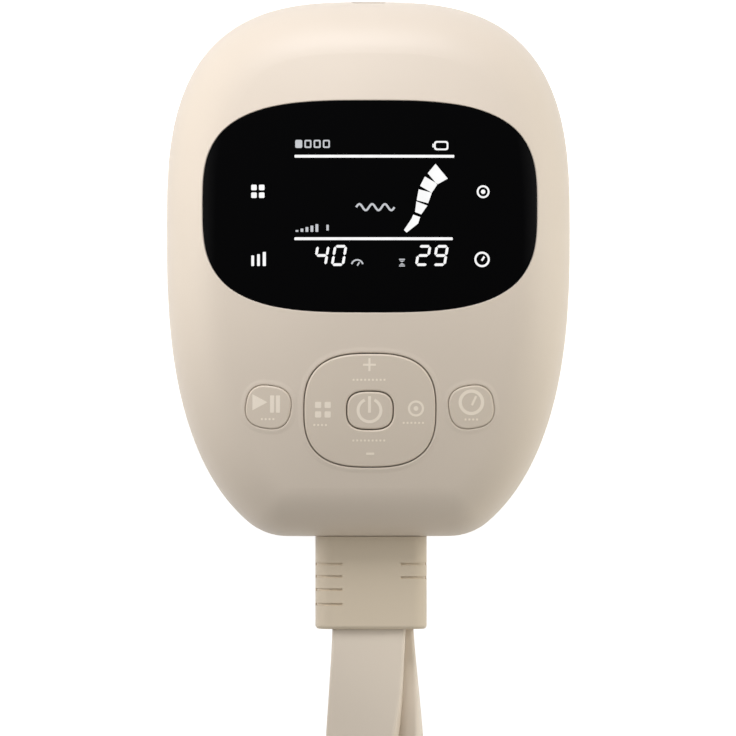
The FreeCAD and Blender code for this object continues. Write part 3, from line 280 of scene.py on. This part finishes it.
# ---- materials ----
def new_material(name, colour, roughness):
    """A material and its shader, with its plain values set. Returns both, its nodes and its links."""
    material = bpy.data.materials.new(name)
    material.use_nodes = True
    shader = material.node_tree.nodes["Principled BSDF"]
    shader.inputs["Base Color"].default_value = (*colour, 1.0)
    shader.inputs["Roughness"].default_value = roughness
    return material, shader, material.node_tree.nodes, material.node_tree.links


def noise(nodes, links, scale, detail=2.0):
    """Noise that is fixed to the object."""
    place = nodes.new("ShaderNodeTexCoord")
    texture = nodes.new("ShaderNodeTexNoise")
    texture.inputs["Scale"].default_value = scale
    texture.inputs["Detail"].default_value = detail
    links.new(place.outputs["Object"], texture.inputs["Vector"])
    return texture


def vary(nodes, links, texture, low, high, socket):
    """Lets a shader's value drift between two levels with a noise."""
    span = nodes.new("ShaderNodeMapRange")
    span.inputs["To Min"].default_value = low
    span.inputs["To Max"].default_value = high
    links.new(texture.outputs["Fac"], span.inputs["Value"])
    links.new(span.outputs["Result"], socket)


def plastic(name, colour, roughness, grain=GRAIN, depth=GRAIN_DEPTH, sheen=0.0):
    """Moulded plastic: a fine eroded texture, and a slight drift of colour and gloss."""
    material, shader, nodes, links = new_material(name, colour, roughness)
    drift = noise(nodes, links, DRIFT_SCALE, DRIFT_DETAIL)
    tint = nodes.new("ShaderNodeMix")
    tint.data_type = "RGBA"
    tint.inputs["A"].default_value = (*(c * (1 - MOTTLE) for c in colour), 1.0)
    tint.inputs["B"].default_value = (*(c * (1 + MOTTLE) for c in colour), 1.0)
    links.new(drift.outputs["Fac"], tint.inputs["Factor"])
    links.new(tint.outputs["Result"], shader.inputs["Base Color"])
    vary(nodes, links, drift, roughness - PLASTIC_GLOSS_DRIFT, roughness + PLASTIC_GLOSS_DRIFT,
         shader.inputs["Roughness"])
    pores = noise(nodes, links, 1.0 / grain)
    bump = nodes.new("ShaderNodeBump")
    bump.inputs["Strength"].default_value = BUMP_STRENGTH
    bump.inputs["Distance"].default_value = depth
    links.new(pores.outputs["Fac"], bump.inputs["Height"])
    links.new(bump.outputs["Normal"], shader.inputs["Normal"])
    shader.inputs["Sheen Weight"].default_value = sheen
    return material


def metal(name, colour, roughness):
    """Plated metal with fine brushing."""
    material, shader, nodes, links = new_material(name, colour, roughness)
    shader.inputs["Metallic"].default_value = 1.0
    brush = noise(nodes, links, BRUSH_SCALE)
    vary(nodes, links, brush, roughness - METAL_GLOSS_DRIFT, roughness + METAL_GLOSS_DRIFT,
         shader.inputs["Roughness"])
    return material


def lens_material():
    """Black display glass, glossy, with the faintest dust in its gloss."""
    material, shader, nodes, links = new_material("lens", LENS_COLOUR, LENS_ROUGHNESS)
    shader.inputs["Specular IOR Level"].default_value = LENS_SPECULAR
    dust = noise(nodes, links, DUST_SCALE, DUST_DETAIL)
    vary(nodes, links, dust, LENS_ROUGHNESS - LENS_GLOSS_DRIFT, LENS_ROUGHNESS + LENS_GLOSS_DRIFT,
         shader.inputs["Roughness"])
    return material


def lit_material(name, colour, glow):
    """A mark on the display that glows, not quite evenly."""
    material, shader, nodes, links = new_material(name, UNLIT_COLOUR, UNLIT_ROUGHNESS)
    shader.inputs["Emission Color"].default_value = (*colour, 1.0)
    drift = noise(nodes, links, GLOW_SCALE)
    vary(nodes, links, drift, glow * (1 - GLOW_DRIFT), glow * (1 + GLOW_DRIFT),
         shader.inputs["Emission Strength"])
    return material


FINISHES = {
    "shell": plastic("shell", (0.745, 0.650, 0.540), 0.48, sheen=0.05),
    "key": plastic("key", (0.745, 0.648, 0.532), 0.45),
    "plug": plastic("plug", (0.745, 0.638, 0.490), 0.42),
    "connector": plastic("connector", (0.60, 0.525, 0.42), 0.42),
    "hose": plastic("hose", (0.88, 0.775, 0.645), 0.38, grain=1.2 * MM, depth=0.01 * MM),
    "tie": plastic("tie", (0.20, 0.18, 0.16), 0.85, grain=0.5 * MM, depth=0.2 * MM, sheen=0.4),
    "foot": plastic("foot", (0.05, 0.048, 0.045), 0.7),
    "inner_plastic": plastic("inner_plastic", (0.72, 0.71, 0.67), 0.5),
    "dark_plastic": plastic("dark_plastic", (0.02, 0.02, 0.021), 0.45),
    "silicone": plastic("silicone", (0.62, 0.60, 0.56), 0.55),
    "board": plastic("board", (0.01, 0.10, 0.04), 0.35, grain=1.5 * MM),
    "cell_wrap": plastic("cell_wrap", (0.02, 0.10, 0.32), 0.3),
    "white": plastic("white", (0.85, 0.85, 0.85), 0.5),
    "glass": plastic("glass", (0.03, 0.035, 0.035), 0.12, depth=0.0),
    "steel": metal("steel", (0.60, 0.60, 0.61), 0.35),
    "can": metal("can", (0.62, 0.62, 0.60), 0.25),
    "lens": lens_material(),
    "print": plastic("print", (0.97, 0.87, 0.73), 0.5, depth=0.005 * MM),
}
LIT = lit_material("lit_mark", WHITE, 0.92)
FAINT = lit_material("faint_mark", (0.92, 0.95, 1.0), 0.55)


def dress_frame():
    """Gives every node of the frame the finish of its material slot."""
    for node in frame["nodes"].values():
        for holder in node.material_slots:
            slot = holder.material.name.split(".")[0]
            holder.material = FINISHES[slot]


# ---- meshes and outlines ----
def keep_mesh(name, mesh, material, smooth=True):
    """Turns a bmesh into a piece."""
    data = bpy.data.meshes.new(name)
    mesh.to_mesh(data)
    mesh.free()
    piece = bpy.data.objects.new(name, data)
    bpy.context.scene.collection.objects.link(piece)
    data.materials.append(material)
    if smooth:
        data.polygons.foreach_set("use_smooth", [True] * len(data.polygons))
        data.set_sharp_from_angle(angle=SHARP_ANGLE)
    return piece


def join_loops(mesh, near, far):
    """A strip of faces between two loops of as many points."""
    for i in range(len(near)):
        j = (i + 1) % len(near)
        mesh.faces.new((near[i], near[j], far[j], far[i]))


def bar(x, y, half_x, half_y, corner=BAR_CORNER):
    """The outline of a box with round corners, in any unit."""
    loop = []
    for quarter, (side_x, side_y) in enumerate(((1, 1), (-1, 1), (-1, -1), (1, -1))):
        for i in range(CORNER_STEPS + 1):
            angle = TURN / 4 * (quarter + i / CORNER_STEPS)
            loop.append((x + side_x * (half_x - corner) + corner * math.cos(angle),
                         y + side_y * (half_y - corner) + corner * math.sin(angle)))
    return loop


# ---- hoses ----
def coil_centre(route, side):
    return Vector(route[-1]) + Vector((side * COIL_OUTER, 0, 0))


def turn_radius(turned):
    """The radius of a coil's line, at an angle from the coil's start."""
    share = turned / TURN * COIL_STEPS / COIL_LAST
    return COIL_OUTER + (COIL_INNER - COIL_OUTER) * share


def from_centre(turned, side):
    """The direction from a coil's centre to its line, at an angle from the coil's start."""
    return Vector((-side * math.cos(turned), -math.sin(turned), 0))


def whole_route(route, side):
    """A hose's control points: its loose stretch, the turns of its coil and its tail."""
    centre = coil_centre(route, side)
    points = [Vector(p) for p in route]
    for i in range(1, COIL_LAST + 1):
        turned = TURN * i / COIL_STEPS
        points.append(centre + from_centre(turned, side) * turn_radius(turned) * COIL_OUTWARD)
    for x, y in TAIL_ROUTE:
        points.append(centre + Vector((-side * x, y, 0)))
    return points


def smooth_line(name, points):
    """Points read from the smooth spline that a route guides."""
    curve = bpy.data.curves.new(name, "CURVE")
    curve.dimensions = "3D"
    curve.resolution_u = LINE_STEPS
    spline = curve.splines.new("NURBS")
    spline.points.add(len(points) - 1)
    for control, point in zip(spline.points, points):
        control.co = (*point, 1.0)
    spline.order_u = 3
    spline.use_endpoint_u = True
    holder = bpy.data.objects.new(name, curve)
    mesh = bpy.data.meshes.new_from_object(holder)
    line = [v.co.copy() for v in mesh.vertices]
    bpy.data.objects.remove(holder)
    bpy.data.meshes.remove(mesh)
    return line


def hose_directions(line, i, travelled):
    """Where the hose's width and its thickness point, at one point of its line."""
    direction = (line[min(i + 1, len(line) - 1)] - line[max(i - 1, 0)]).normalized()
    share = min(1.0, travelled / TWIST_LENGTH)
    twist = TURN / 4 * (3 * share ** 2 - 2 * share ** 3)
    level = -direction.cross(Vector((0, 0, 1))).normalized()
    upright = direction.cross(level).normalized()
    wide = level * math.cos(twist) + upright * math.sin(twist)
    thick = upright * math.cos(twist) - level * math.sin(twist)
    return wide, thick


def hose(name, route, side):
    """A flat hose swept along its smooth line, which turns on edge as it comes down."""
    line = smooth_line(name, whole_route(route, side))
    section = bar(0.0, 0.0, HOSE_WIDTH / 2, HOSE_THICKNESS / 2, HOSE_EDGE)
    mesh = bmesh.new()
    loops = []
    travelled = 0.0
    for i, point in enumerate(line):
        if i:
            travelled += (point - line[i - 1]).length
        wide, thick = hose_directions(line, i, travelled)
        loops.append([mesh.verts.new(point + wide * x + thick * y) for x, y in section])
    for near, far in zip(loops, loops[1:]):
        join_loops(mesh, near, far)
    mesh.faces.new(loops[0])
    mesh.faces.new(loops[-1])
    bmesh.ops.recalc_face_normals(mesh, faces=mesh.faces)
    piece = keep_mesh(name, mesh, FINISHES["hose"])
    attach(piece, "hose_set")
    return piece, line


# ---- ties ----
def tie_outline(share, grow):
    """The strap's outline round the turns, at a share of its half width and grown outwards."""
    aside = share * TIE_HALF_WIDTH
    inner_face = turn_radius(TIE_TURNED + 2 * TURN) - HOSE_THICKNESS / 2
    outer_face = turn_radius(TIE_TURNED) + HOSE_THICKNESS / 2
    near = math.sqrt(inner_face ** 2 - aside ** 2)
    far = math.sqrt(outer_face ** 2 - aside ** 2)
    half = (far - near) / 2 + TIE_GAP + grow
    return bar((near + far) / 2, 0.0, half, HOSE_WIDTH / 2 + TIE_CLEARANCE + grow, TIE_CORNER + grow)


def lap_outline(fullness):
    """The outline of the strap's end, lapped over its top."""
    middle = turn_radius(TIE_TURNED + TURN) + LAP_SHIFT
    half = TIE_THICKNESS / 2 * fullness
    foot = HOSE_WIDTH / 2 + TIE_CLEARANCE + TIE_THICKNESS
    return bar(middle, foot + half, LAP_REACH, half, half * LAP_WIDTH)


def tie(mesh, route, side):
    """A soft strap round a coil's turns, with its lapped end."""
    centre = coil_centre(route, side)
    away = from_centre(TIE_TURNED, side)
    along = Vector((-away.y, away.x, 0)) * TIE_HALF_WIDTH
    up = Vector((0, 0, 1))
    inner = []
    outer = []
    lap = []
    for share, fullness in TIE_STATIONS:
        for loops, outline, width in ((inner, tie_outline(share, 0.0), 1.0),
                                      (outer, tie_outline(share, TIE_THICKNESS * fullness), 1.0),
                                      (lap, lap_outline(fullness), LAP_WIDTH)):
            start = centre + along * share * width
            loops.append([mesh.verts.new(start + away * x + up * z) for x, z in outline])
    for loops in (inner, outer, lap):
        for near, far in zip(loops, loops[1:]):
            join_loops(mesh, near, far)
    for end in (0, -1):
        join_loops(mesh, inner[end], outer[end])
        mesh.faces.new(lap[end])


def coil_straps():
    """Both ties, as one piece, as the frame has them."""
    mesh = bmesh.new()
    tie(mesh, FRONT_ROUTE, -1)
    tie(mesh, REAR_ROUTE, 1)
    bmesh.ops.recalc_face_normals(mesh, faces=mesh.faces)
    piece = keep_mesh("coil_straps", mesh, FINISHES["tie"])
    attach(piece, "hose_set")
    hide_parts("coil_ties")
    return piece


def hoses():
    """Both hoses as cords, with what sits on them."""
    straps = coil_straps()
    front, front_line = hose("front_hose", FRONT_ROUTE, -1)
    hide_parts("hose_front_lead", "hose_front_coil")
    rear, rear_line = hose("rear_hose", REAR_ROUTE, 1)
    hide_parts("hose_rear_lead", "hose_rear_coil")


# ---- outlines of the marks ----
def circle(x, y, radius):
    angles = (TURN * i / CIRCLE_STEPS for i in range(CIRCLE_STEPS))
    return [(x + radius * math.cos(a), y + radius * math.sin(a)) for a in angles]


def band(x, y, radius, width):
    """A closed ring of one width."""
    return [circle(x, y, radius), circle(x, y, radius - width)]


def target(x, y, radius, width, dot):
    return band(x, y, radius, width) + [circle(x, y, dot)]


def box_outline(x, y, half_x, half_y, width, corner):
    """A round-cornered box drawn as a line."""
    return [bar(x, y, half_x, half_y, corner),
            bar(x, y, half_x - width, half_y - width, corner - width / 2)]


def stroke(points, widths):
    """A line drawn along points, with its own width at each of them."""
    left = []
    right = []
    for i, (x, y) in enumerate(points):
        before = points[max(i - 1, 0)]
        after = points[min(i + 1, len(points) - 1)]
        along = Vector((after[0] - before[0], after[1] - before[1])).normalized()
        half = widths[i] / 2
        left.append((x - along.y * half, y + along.x * half))
        right.append((x + along.y * half, y - along.x * half))
    return left + right[::-1]


def even_stroke(points, width):
    return stroke(points, [width] * len(points))


def arc(x, y, radius, start, end, width):
    """A part of a ring, between two angles in degrees."""
    angles = (math.radians(start + (end - start) * i / CIRCLE_STEPS) for i in range(CIRCLE_STEPS + 1))
    return even_stroke([(x + radius * math.cos(a), y + radius * math.sin(a)) for a in angles], width)


def plus(x, y, reach, half):
    quarter = [(reach, half), (half, half), (half, reach)]
    loop = []
    for turn in range(4):
        for px, py in quarter:
            for _ in range(turn):
                px, py = -py, px
            loop.append((x + px, y + py))
    return [loop]


def squares(x, y, half, gap):
    """Four small rounded squares, two by two."""
    reach = half + gap / 2
    return [bar(x + i * reach, y + j * reach, half, half, SQUARE_CORNER) for i in (-1, 1) for j in (-1, 1)]


def dots(x, y, width):
    """A row of small square dots."""
    count = round(width / DOT_PITCH)
    places = (x + DOT_PITCH * (i - (count - 1) / 2) for i in range(count))
    return [bar(place, y, DOT_HALF, DOT_HALF, DOT_CORNER) for place in places]


def clock(x, y, radius, width, hand):
    """A ring with one hand, given by its ends, from the ring's middle, and its width."""
    from_x, from_y, to_x, to_y, hand_width = hand
    ends = [(x + from_x, y + from_y), (x + to_x, y + to_y)]
    return band(x, y, radius, width) + [even_stroke(ends, hand_width)]


def digit(figure, x, y):
    """A seven-segment figure; x and y are the middle of its lower left corner."""
    loops = []
    half = DIGIT_STROKE / 2
    for segment in DIGIT_SEGMENTS[figure]:
        ends = SEGMENT_ENDS[segment]
        start = Vector((ends[0] * DIGIT_WIDTH, ends[1] * DIGIT_HEIGHT / 2))
        end = Vector((ends[2] * DIGIT_WIDTH, ends[3] * DIGIT_HEIGHT / 2))
        along = (end - start).normalized()
        across = Vector((-along.y, along.x)) * half
        start += along * DIGIT_GAP
        end -= along * DIGIT_GAP
        near = start + along * half
        far = end - along * half
        corners = (start, near - across, far - across, end, far + across, near + across)
        loops.append([(x + p.x + p.y * DIGIT_LEAN, y + p.y) for p in corners])
    return loops


def number(figures, x, y):
    return [loop for i, figure in enumerate(figures) for loop in digit(figure, x + DIGIT_PITCH * i, y)]


def leg():
    """A bent leg in five parts that taper to the foot."""
    loops = []
    for (x0, y0, width0), (x1, y1, width1) in zip(LEG_STATIONS, LEG_STATIONS[1:]):
        start = Vector((x0, y0))
        end = Vector((x1, y1))
        cut = (end - start).normalized() * (LEG_JOINT_GAP / 2)
        loops.append(stroke([tuple(start + cut), tuple(end - cut)], (width0, width1)))
    loops.append(stroke([(x, y) for x, y, _ in FOOT_STATIONS], [width for _, _, width in FOOT_STATIONS]))
    return loops


def wave(x, y, width, height, turns, line_width):
    steps = WAVE_STEPS * turns
    points = [(x + width * (i / steps - 0.5), y + height / 2 * math.sin(TURN * turns * i / steps))
              for i in range(steps + 1)]
    return [even_stroke(points, line_width)]


def mode_row():
    """A row of boxes, of which the first is filled."""
    x, y, half_x, half_y = MODE_BOX
    loops = [bar(x, y, half_x, half_y, MODE_CORNER)]
    for i in range(1, MODE_BOXES):
        loops += box_outline(x + MODE_PITCH * i, y, half_x, half_y, MODE_LINE, MODE_CORNER)
    return loops


def level_ticks():
    """Rising ticks, and one that stands apart."""
    x, y, half_x, half_y = TICK
    loops = [bar(x + TICK_PITCH * i, y + TICK_RISE * i, half_x, half_y + TICK_RISE * i, TICK_CORNER)
             for i in range(TICKS)]
    return loops + [bar(*LAST_TICK, TICK_CORNER)]


def hourglass(x, y, half_x, half_y, cap):
    """Two triangles that almost meet, each with a cap."""
    loops = []
    for side in (1, -1):
        base = y + side * (half_y - cap + HOURGLASS_WAIST)
        loops.append([(x - side * half_x, base), (x, y + side * HOURGLASS_WAIST), (x + side * half_x, base)])
        loops.append(bar(x, y + side * (half_y + cap / 2), half_x, cap / 2, HOURGLASS_CORNER))
    return loops


# ---- laying marks on the crown ----
def on_crown(x, y, lift):
    """The point of the crown, raised by a lift, that is seen at a place from above."""
    radius = CROWN_RADIUS + lift * MM
    x *= MM
    y *= MM
    height = math.sqrt(radius ** 2 - x ** 2 - (y - CROWN_CENTRE_Y) ** 2)
    return Vector((x, y, CROWN_TOP - CROWN_RADIUS + height))


def refined(loop, centre):
    """A loop moved to its centre, with its long edges cut up."""
    points = []
    for start, end in zip(loop, loop[1:] + loop[:1]):
        count = max(1, math.ceil(math.dist(start, end) / MARK_EDGE))
        points += [Vector(start).lerp(Vector(end), i / count) + Vector(centre) for i in range(count)]
    return points


def inside(point, loops):
    """Whether a point lies within an odd number of loops."""
    odd = False
    for loop in loops:
        for start, end in zip(loop, loop[1:] + loop[:1]):
            if (start.y > point.y) == (end.y > point.y):
                continue
            share = (point.y - start.y) / (end.y - start.y)
            if point.x < start.x + share * (end.x - start.x):
                odd = not odd
    return odd


def filled(loops):
    """The points of flat loops and the triangles that fill them; a loop within another is a hole."""
    flat = []
    edges = []
    for loop in loops:
        edges += [(len(flat) + i, len(flat) + (i + 1) % len(loop)) for i in range(len(loop))]
        flat += loop
    points, _, triangles, *_ = delaunay_2d_cdt(flat, edges, [], 0, FILL_TOLERANCE)
    kept = []
    for corners in triangles:
        middle = sum((points[i] for i in corners), Vector((0, 0))) / len(corners)
        if inside(middle, loops):
            kept.append(corners)
    return points, kept


def outer_edges(triangles):
    """The edges that belong to one triangle only."""
    edges = set()
    for corners in triangles:
        for start, end in zip(corners, corners[1:] + corners[:1]):
            if (end, start) in edges:
                edges.remove((end, start))
            else:
                edges.add((start, end))
    return edges


def mark(name, centre, loops, lift, body, material):
    """Lays flat loops on the crown as a thin closed layer."""
    points, triangles = filled([refined(loop, centre) for loop in loops])
    mesh = bmesh.new()
    high = [mesh.verts.new(on_crown(p.x, p.y, lift)) for p in points]
    low = [mesh.verts.new(on_crown(p.x, p.y, lift - MARK_DEPTH)) for p in points]
    for corners in triangles:
        mesh.faces.new([high[i] for i in corners])
        mesh.faces.new([low[i] for i in reversed(corners)])
    for start, end in outer_edges(triangles):
        mesh.faces.new((high[end], high[start], low[start], low[end]))
    bmesh.ops.delete(mesh, geom=[v for v in mesh.verts if not v.link_faces], context="VERTS")
    piece = keep_mesh(name, mesh, material, smooth=False)
    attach(piece, body)
    return piece


def display_marks():
    """The marks on the display: the lit ones, and the ones that glow faintly."""
    lit = {
        "display_rules": [bar(*rule, RULE_CORNER) for rule in RULES],
        "display_battery": box_outline(*BATTERY) + [bar(*BATTERY_TIP)],
        "display_leg": leg(),
        "display_pressure": number("40", *PRESSURE),
        "display_minutes": number("29", *MINUTES),
        "mode_squares": squares(*MODE_SQUARES),
        "side_target": target(*SIDE_TARGET),
        "side_clock": clock(*SIDE_CLOCK, SIDE_HAND),
        "side_bars": [bar(*side_bar) for side_bar in SIDE_BARS],
    }
    faint = {
        "mode_row": mode_row(),
        "display_wave": wave(*WAVE),
        "level_ticks": level_ticks(),
        "display_gauge": [arc(*GAUGE, *GAUGE_ARC), even_stroke([GAUGE, GAUGE_TIP], GAUGE_HAND)],
        "display_hourglass": hourglass(*HOURGLASS),
    }
    for marks, material in ((lit, LIT), (faint, FAINT)):
        for name, loops in marks.items():
            mark(name, WINDOW, loops, LENS_LIFT, "housing", material)


def key_print(name, centre, loops, body):
    mark(name, centre, loops, KEY_LIFT, body, FINISHES["print"])


def key_marks():
    """The print on the ring and on the three buttons."""
    ring = {
        "plus_print": plus(*PLUS),
        "minus_print": [bar(*MINUS)],
        "squares_print": squares(*RING_SQUARES),
        "target_print": target(*RING_TARGET),
        "ring_dots": [dot for row in RING_DOTS for dot in dots(*row)],
    }
    for name, loops in ring.items():
        key_print(name, KEYS, loops, "rocker_ring")
    key_print("power_print", KEYS, [arc(*POWER_ARC), bar(*POWER_BAR)], "power_button")
    play = [PLAY_TRIANGLE] + [bar(*pause_bar) for pause_bar in PAUSE_BARS]
    key_print("play_pause_print", PLAY_KEY, play + dots(*PLAY_DOTS), "play_pause_button")
    key_print("timer_print", TIMER_KEY, clock(*TIMER_CLOCK, TIMER_HAND) + dots(*TIMER_DOTS), "timer_button")


# ---- rims of the key openings ----
def oval(centre, shape, grow, lean):
    """A superellipse round a centre, grown outwards and leant, in millimetres."""
    half_x, half_y, exponent = shape
    points = []
    for i in range(RIM_STEPS):
        angle = TURN * i / RIM_STEPS
        ray = Vector((math.cos(angle), math.sin(angle)))
        reach = (abs(ray.x) ** exponent + abs(ray.y) ** exponent) ** (-1 / exponent)
        point = Vector((half_x * ray.x, half_y * ray.y)) * reach
        outward = Vector((math.copysign(abs(point.x) ** (exponent - 1) / half_x ** exponent, point.x),
                          math.copysign(abs(point.y) ** (exponent - 1) / half_y ** exponent, point.y)))
        points.append(Matrix.Rotation(lean, 2) @ (point + outward.normalized() * grow) + Vector(centre))
    return points


def rim(name, centre, shape, clearance, lean=0.0):
    """A soft-edged rim that lines a key's opening in the housing."""
    mesh = bmesh.new()
    loops = []
    for out, lift in RIM_SECTION:
        outline = oval(centre, shape, clearance + out, lean)
        loops.append([mesh.verts.new(on_crown(p.x, p.y, lift)) for p in outline])
    for near, far in zip(loops, loops[1:] + loops[:1]):
        join_loops(mesh, near, far)
    bmesh.ops.recalc_face_normals(mesh, faces=mesh.faces)
    piece = keep_mesh(name, mesh, FINISHES["shell"])
    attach(piece, "housing")


def rims():
    rim("ring_rim", KEYS, RING_SHAPE, RING_CLEARANCE)
    rim("play_pause_rim", PLAY_KEY, SIDE_KEY_SHAPE, KEY_CLEARANCE, -SIDE_KEY_LEAN)
    rim("timer_rim", TIMER_KEY, SIDE_KEY_SHAPE, KEY_CLEARANCE, SIDE_KEY_LEAN)


# ---- soft edges and soft parts of the frame's own nodes ----
def soften_edges():
    """Rounds the edges of the leg connectors."""
    for name, width in SOFT_EDGES.items():
        node = frame["nodes"][name]
        weld = node.modifiers.new("weld", "WELD")
        weld.merge_threshold = WELD_DISTANCE
        bevel = node.modifiers.new("bevel", "BEVEL")
        bevel.width = width
        bevel.segments = EDGE_SEGMENTS
        bevel.limit_method = "ANGLE"
        bevel.angle_limit = EDGE_ANGLE
        bevel.harden_normals = True


def give_way(name):
    """Gives a soft node its own copy of its mesh."""
    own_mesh(frame["nodes"][name])


def soft_parts():
    """The domes below the keys, and the springs above the plungers."""
    for name, (joint, travel) in DOMES.items():
        give_way(name)
    for i in range(1, VALVES + 1):
        give_way("valve_spring_%d" % i)


# ---- stage ----
def seen_directly(nodes, links):
    """One for camera, glossy and transmission rays, which see the white surroundings."""
    path = nodes.new("ShaderNodeLightPath")
    either = nodes.new("ShaderNodeMath")
    either.operation = "MAXIMUM"
    links.new(path.outputs["Is Camera Ray"], either.inputs[0])
    links.new(path.outputs["Is Glossy Ray"], either.inputs[1])
    any_of = nodes.new("ShaderNodeMath")
    any_of.operation = "MAXIMUM"
    links.new(either.outputs["Value"], any_of.inputs[0])
    links.new(path.outputs["Is Transmission Ray"], any_of.inputs[1])
    return any_of


def floor():
    """A wide pale floor, white to the camera, that keeps the object's shadow."""
    mesh = bmesh.new()
    bmesh.ops.create_circle(mesh, cap_ends=True, segments=FLOOR_STEPS, radius=FLOOR_RADIUS)
    material, shader, nodes, links = new_material("floor", FLOOR_COLOUR, FLOOR_ROUGHNESS)
    shader.inputs["Specular IOR Level"].default_value = 0.0
    seen = seen_directly(nodes, links)
    glow = nodes.new("ShaderNodeMath")
    glow.operation = "MULTIPLY"
    glow.inputs[1].default_value = FLOOR_GLOW
    links.new(seen.outputs["Value"], glow.inputs[0])
    shader.inputs["Emission Color"].default_value = (*WHITE, 1.0)
    links.new(glow.outputs["Value"], shader.inputs["Emission Strength"])
    piece = keep_mesh("floor", mesh, material, smooth=False)


def world():
    """White round about for the camera, and a dim even sky for the light."""
    scene_world = bpy.data.worlds.new("studio")
    bpy.context.scene.world = scene_world
    scene_world.use_nodes = True
    nodes = scene_world.node_tree.nodes
    links = scene_world.node_tree.links
    background = nodes["Background"]
    seen = seen_directly(nodes, links)
    place = nodes.new("ShaderNodeTexCoord")
    height = nodes.new("ShaderNodeSeparateXYZ")
    links.new(place.outputs["Generated"], height.inputs["Vector"])
    sky = nodes.new("ShaderNodeMapRange")
    sky.inputs["From Min"].default_value = WHITE_BELOW
    sky.inputs["From Max"].default_value = DIM_ABOVE
    sky.inputs["To Min"].default_value = 1.0
    sky.inputs["To Max"].default_value = ZENITH_LEVEL
    links.new(height.outputs["Z"], sky.inputs["Value"])
    level = nodes.new("ShaderNodeMix")
    level.data_type = "FLOAT"
    level.inputs["A"].default_value = WORLD_LEVEL
    links.new(seen.outputs["Value"], level.inputs["Factor"])
    links.new(sky.outputs["Result"], level.inputs["B"])
    links.new(level.outputs["Result"], background.inputs["Strength"])
    background.inputs["Color"].default_value = (*WHITE, 1.0)


def softbox(name, place, size, power, colour, mirrored):
    """A square lamp that faces the controller."""
    lamp = bpy.data.lights.new(name, "AREA")
    lamp.shape = "SQUARE"
    lamp.size = size
    lamp.energy = power
    lamp.color = colour
    holder = bpy.data.objects.new(name, lamp)
    bpy.context.scene.collection.objects.link(holder)
    holder.location = place
    holder.rotation_mode = "QUATERNION"
    holder.rotation_quaternion = (Vector(LIGHT_TARGET) - Vector(place)).to_track_quat("-Z", "Y")
    holder.visible_camera = False
    holder.visible_glossy = mirrored


def lights():
    """A strong near light past the head, and weak ones low at the sides and the base."""
    for name, values in LIGHTS.items():
        softbox(name, *values)


def camera():
    """Looks straight down on the controller, from far away, leaning slightly to the left."""
    data = bpy.data.cameras.new("camera")
    data.sensor_width = SENSOR
    data.lens = LENS
    data.clip_start = CLIP_START
    data.clip_end = CLIP_END
    distance = LENS / SENSOR * PHOTO_PIXELS * PIXEL_SIZE
    target_point = Vector((*VIEW_CENTRE, RIM_HEIGHT))
    back = Vector((-math.sin(CAMERA_LEAN), 0, math.cos(CAMERA_LEAN)))
    up = Vector((0, 1, 0))
    turn = Matrix((up.cross(back), up, back)).transposed()
    holder = bpy.data.objects.new("camera", data)
    bpy.context.scene.collection.objects.link(holder)
    holder.matrix_world = Matrix.Translation(target_point + back * distance) @ turn.to_4x4()
    bpy.context.scene.camera = holder


bpy.context.scene.view_settings.view_transform = "Standard"
dress_frame()
hoses()
display_marks()
key_marks()
rims()
soften_edges()
soft_parts()
floor()
world()
lights()
camera()
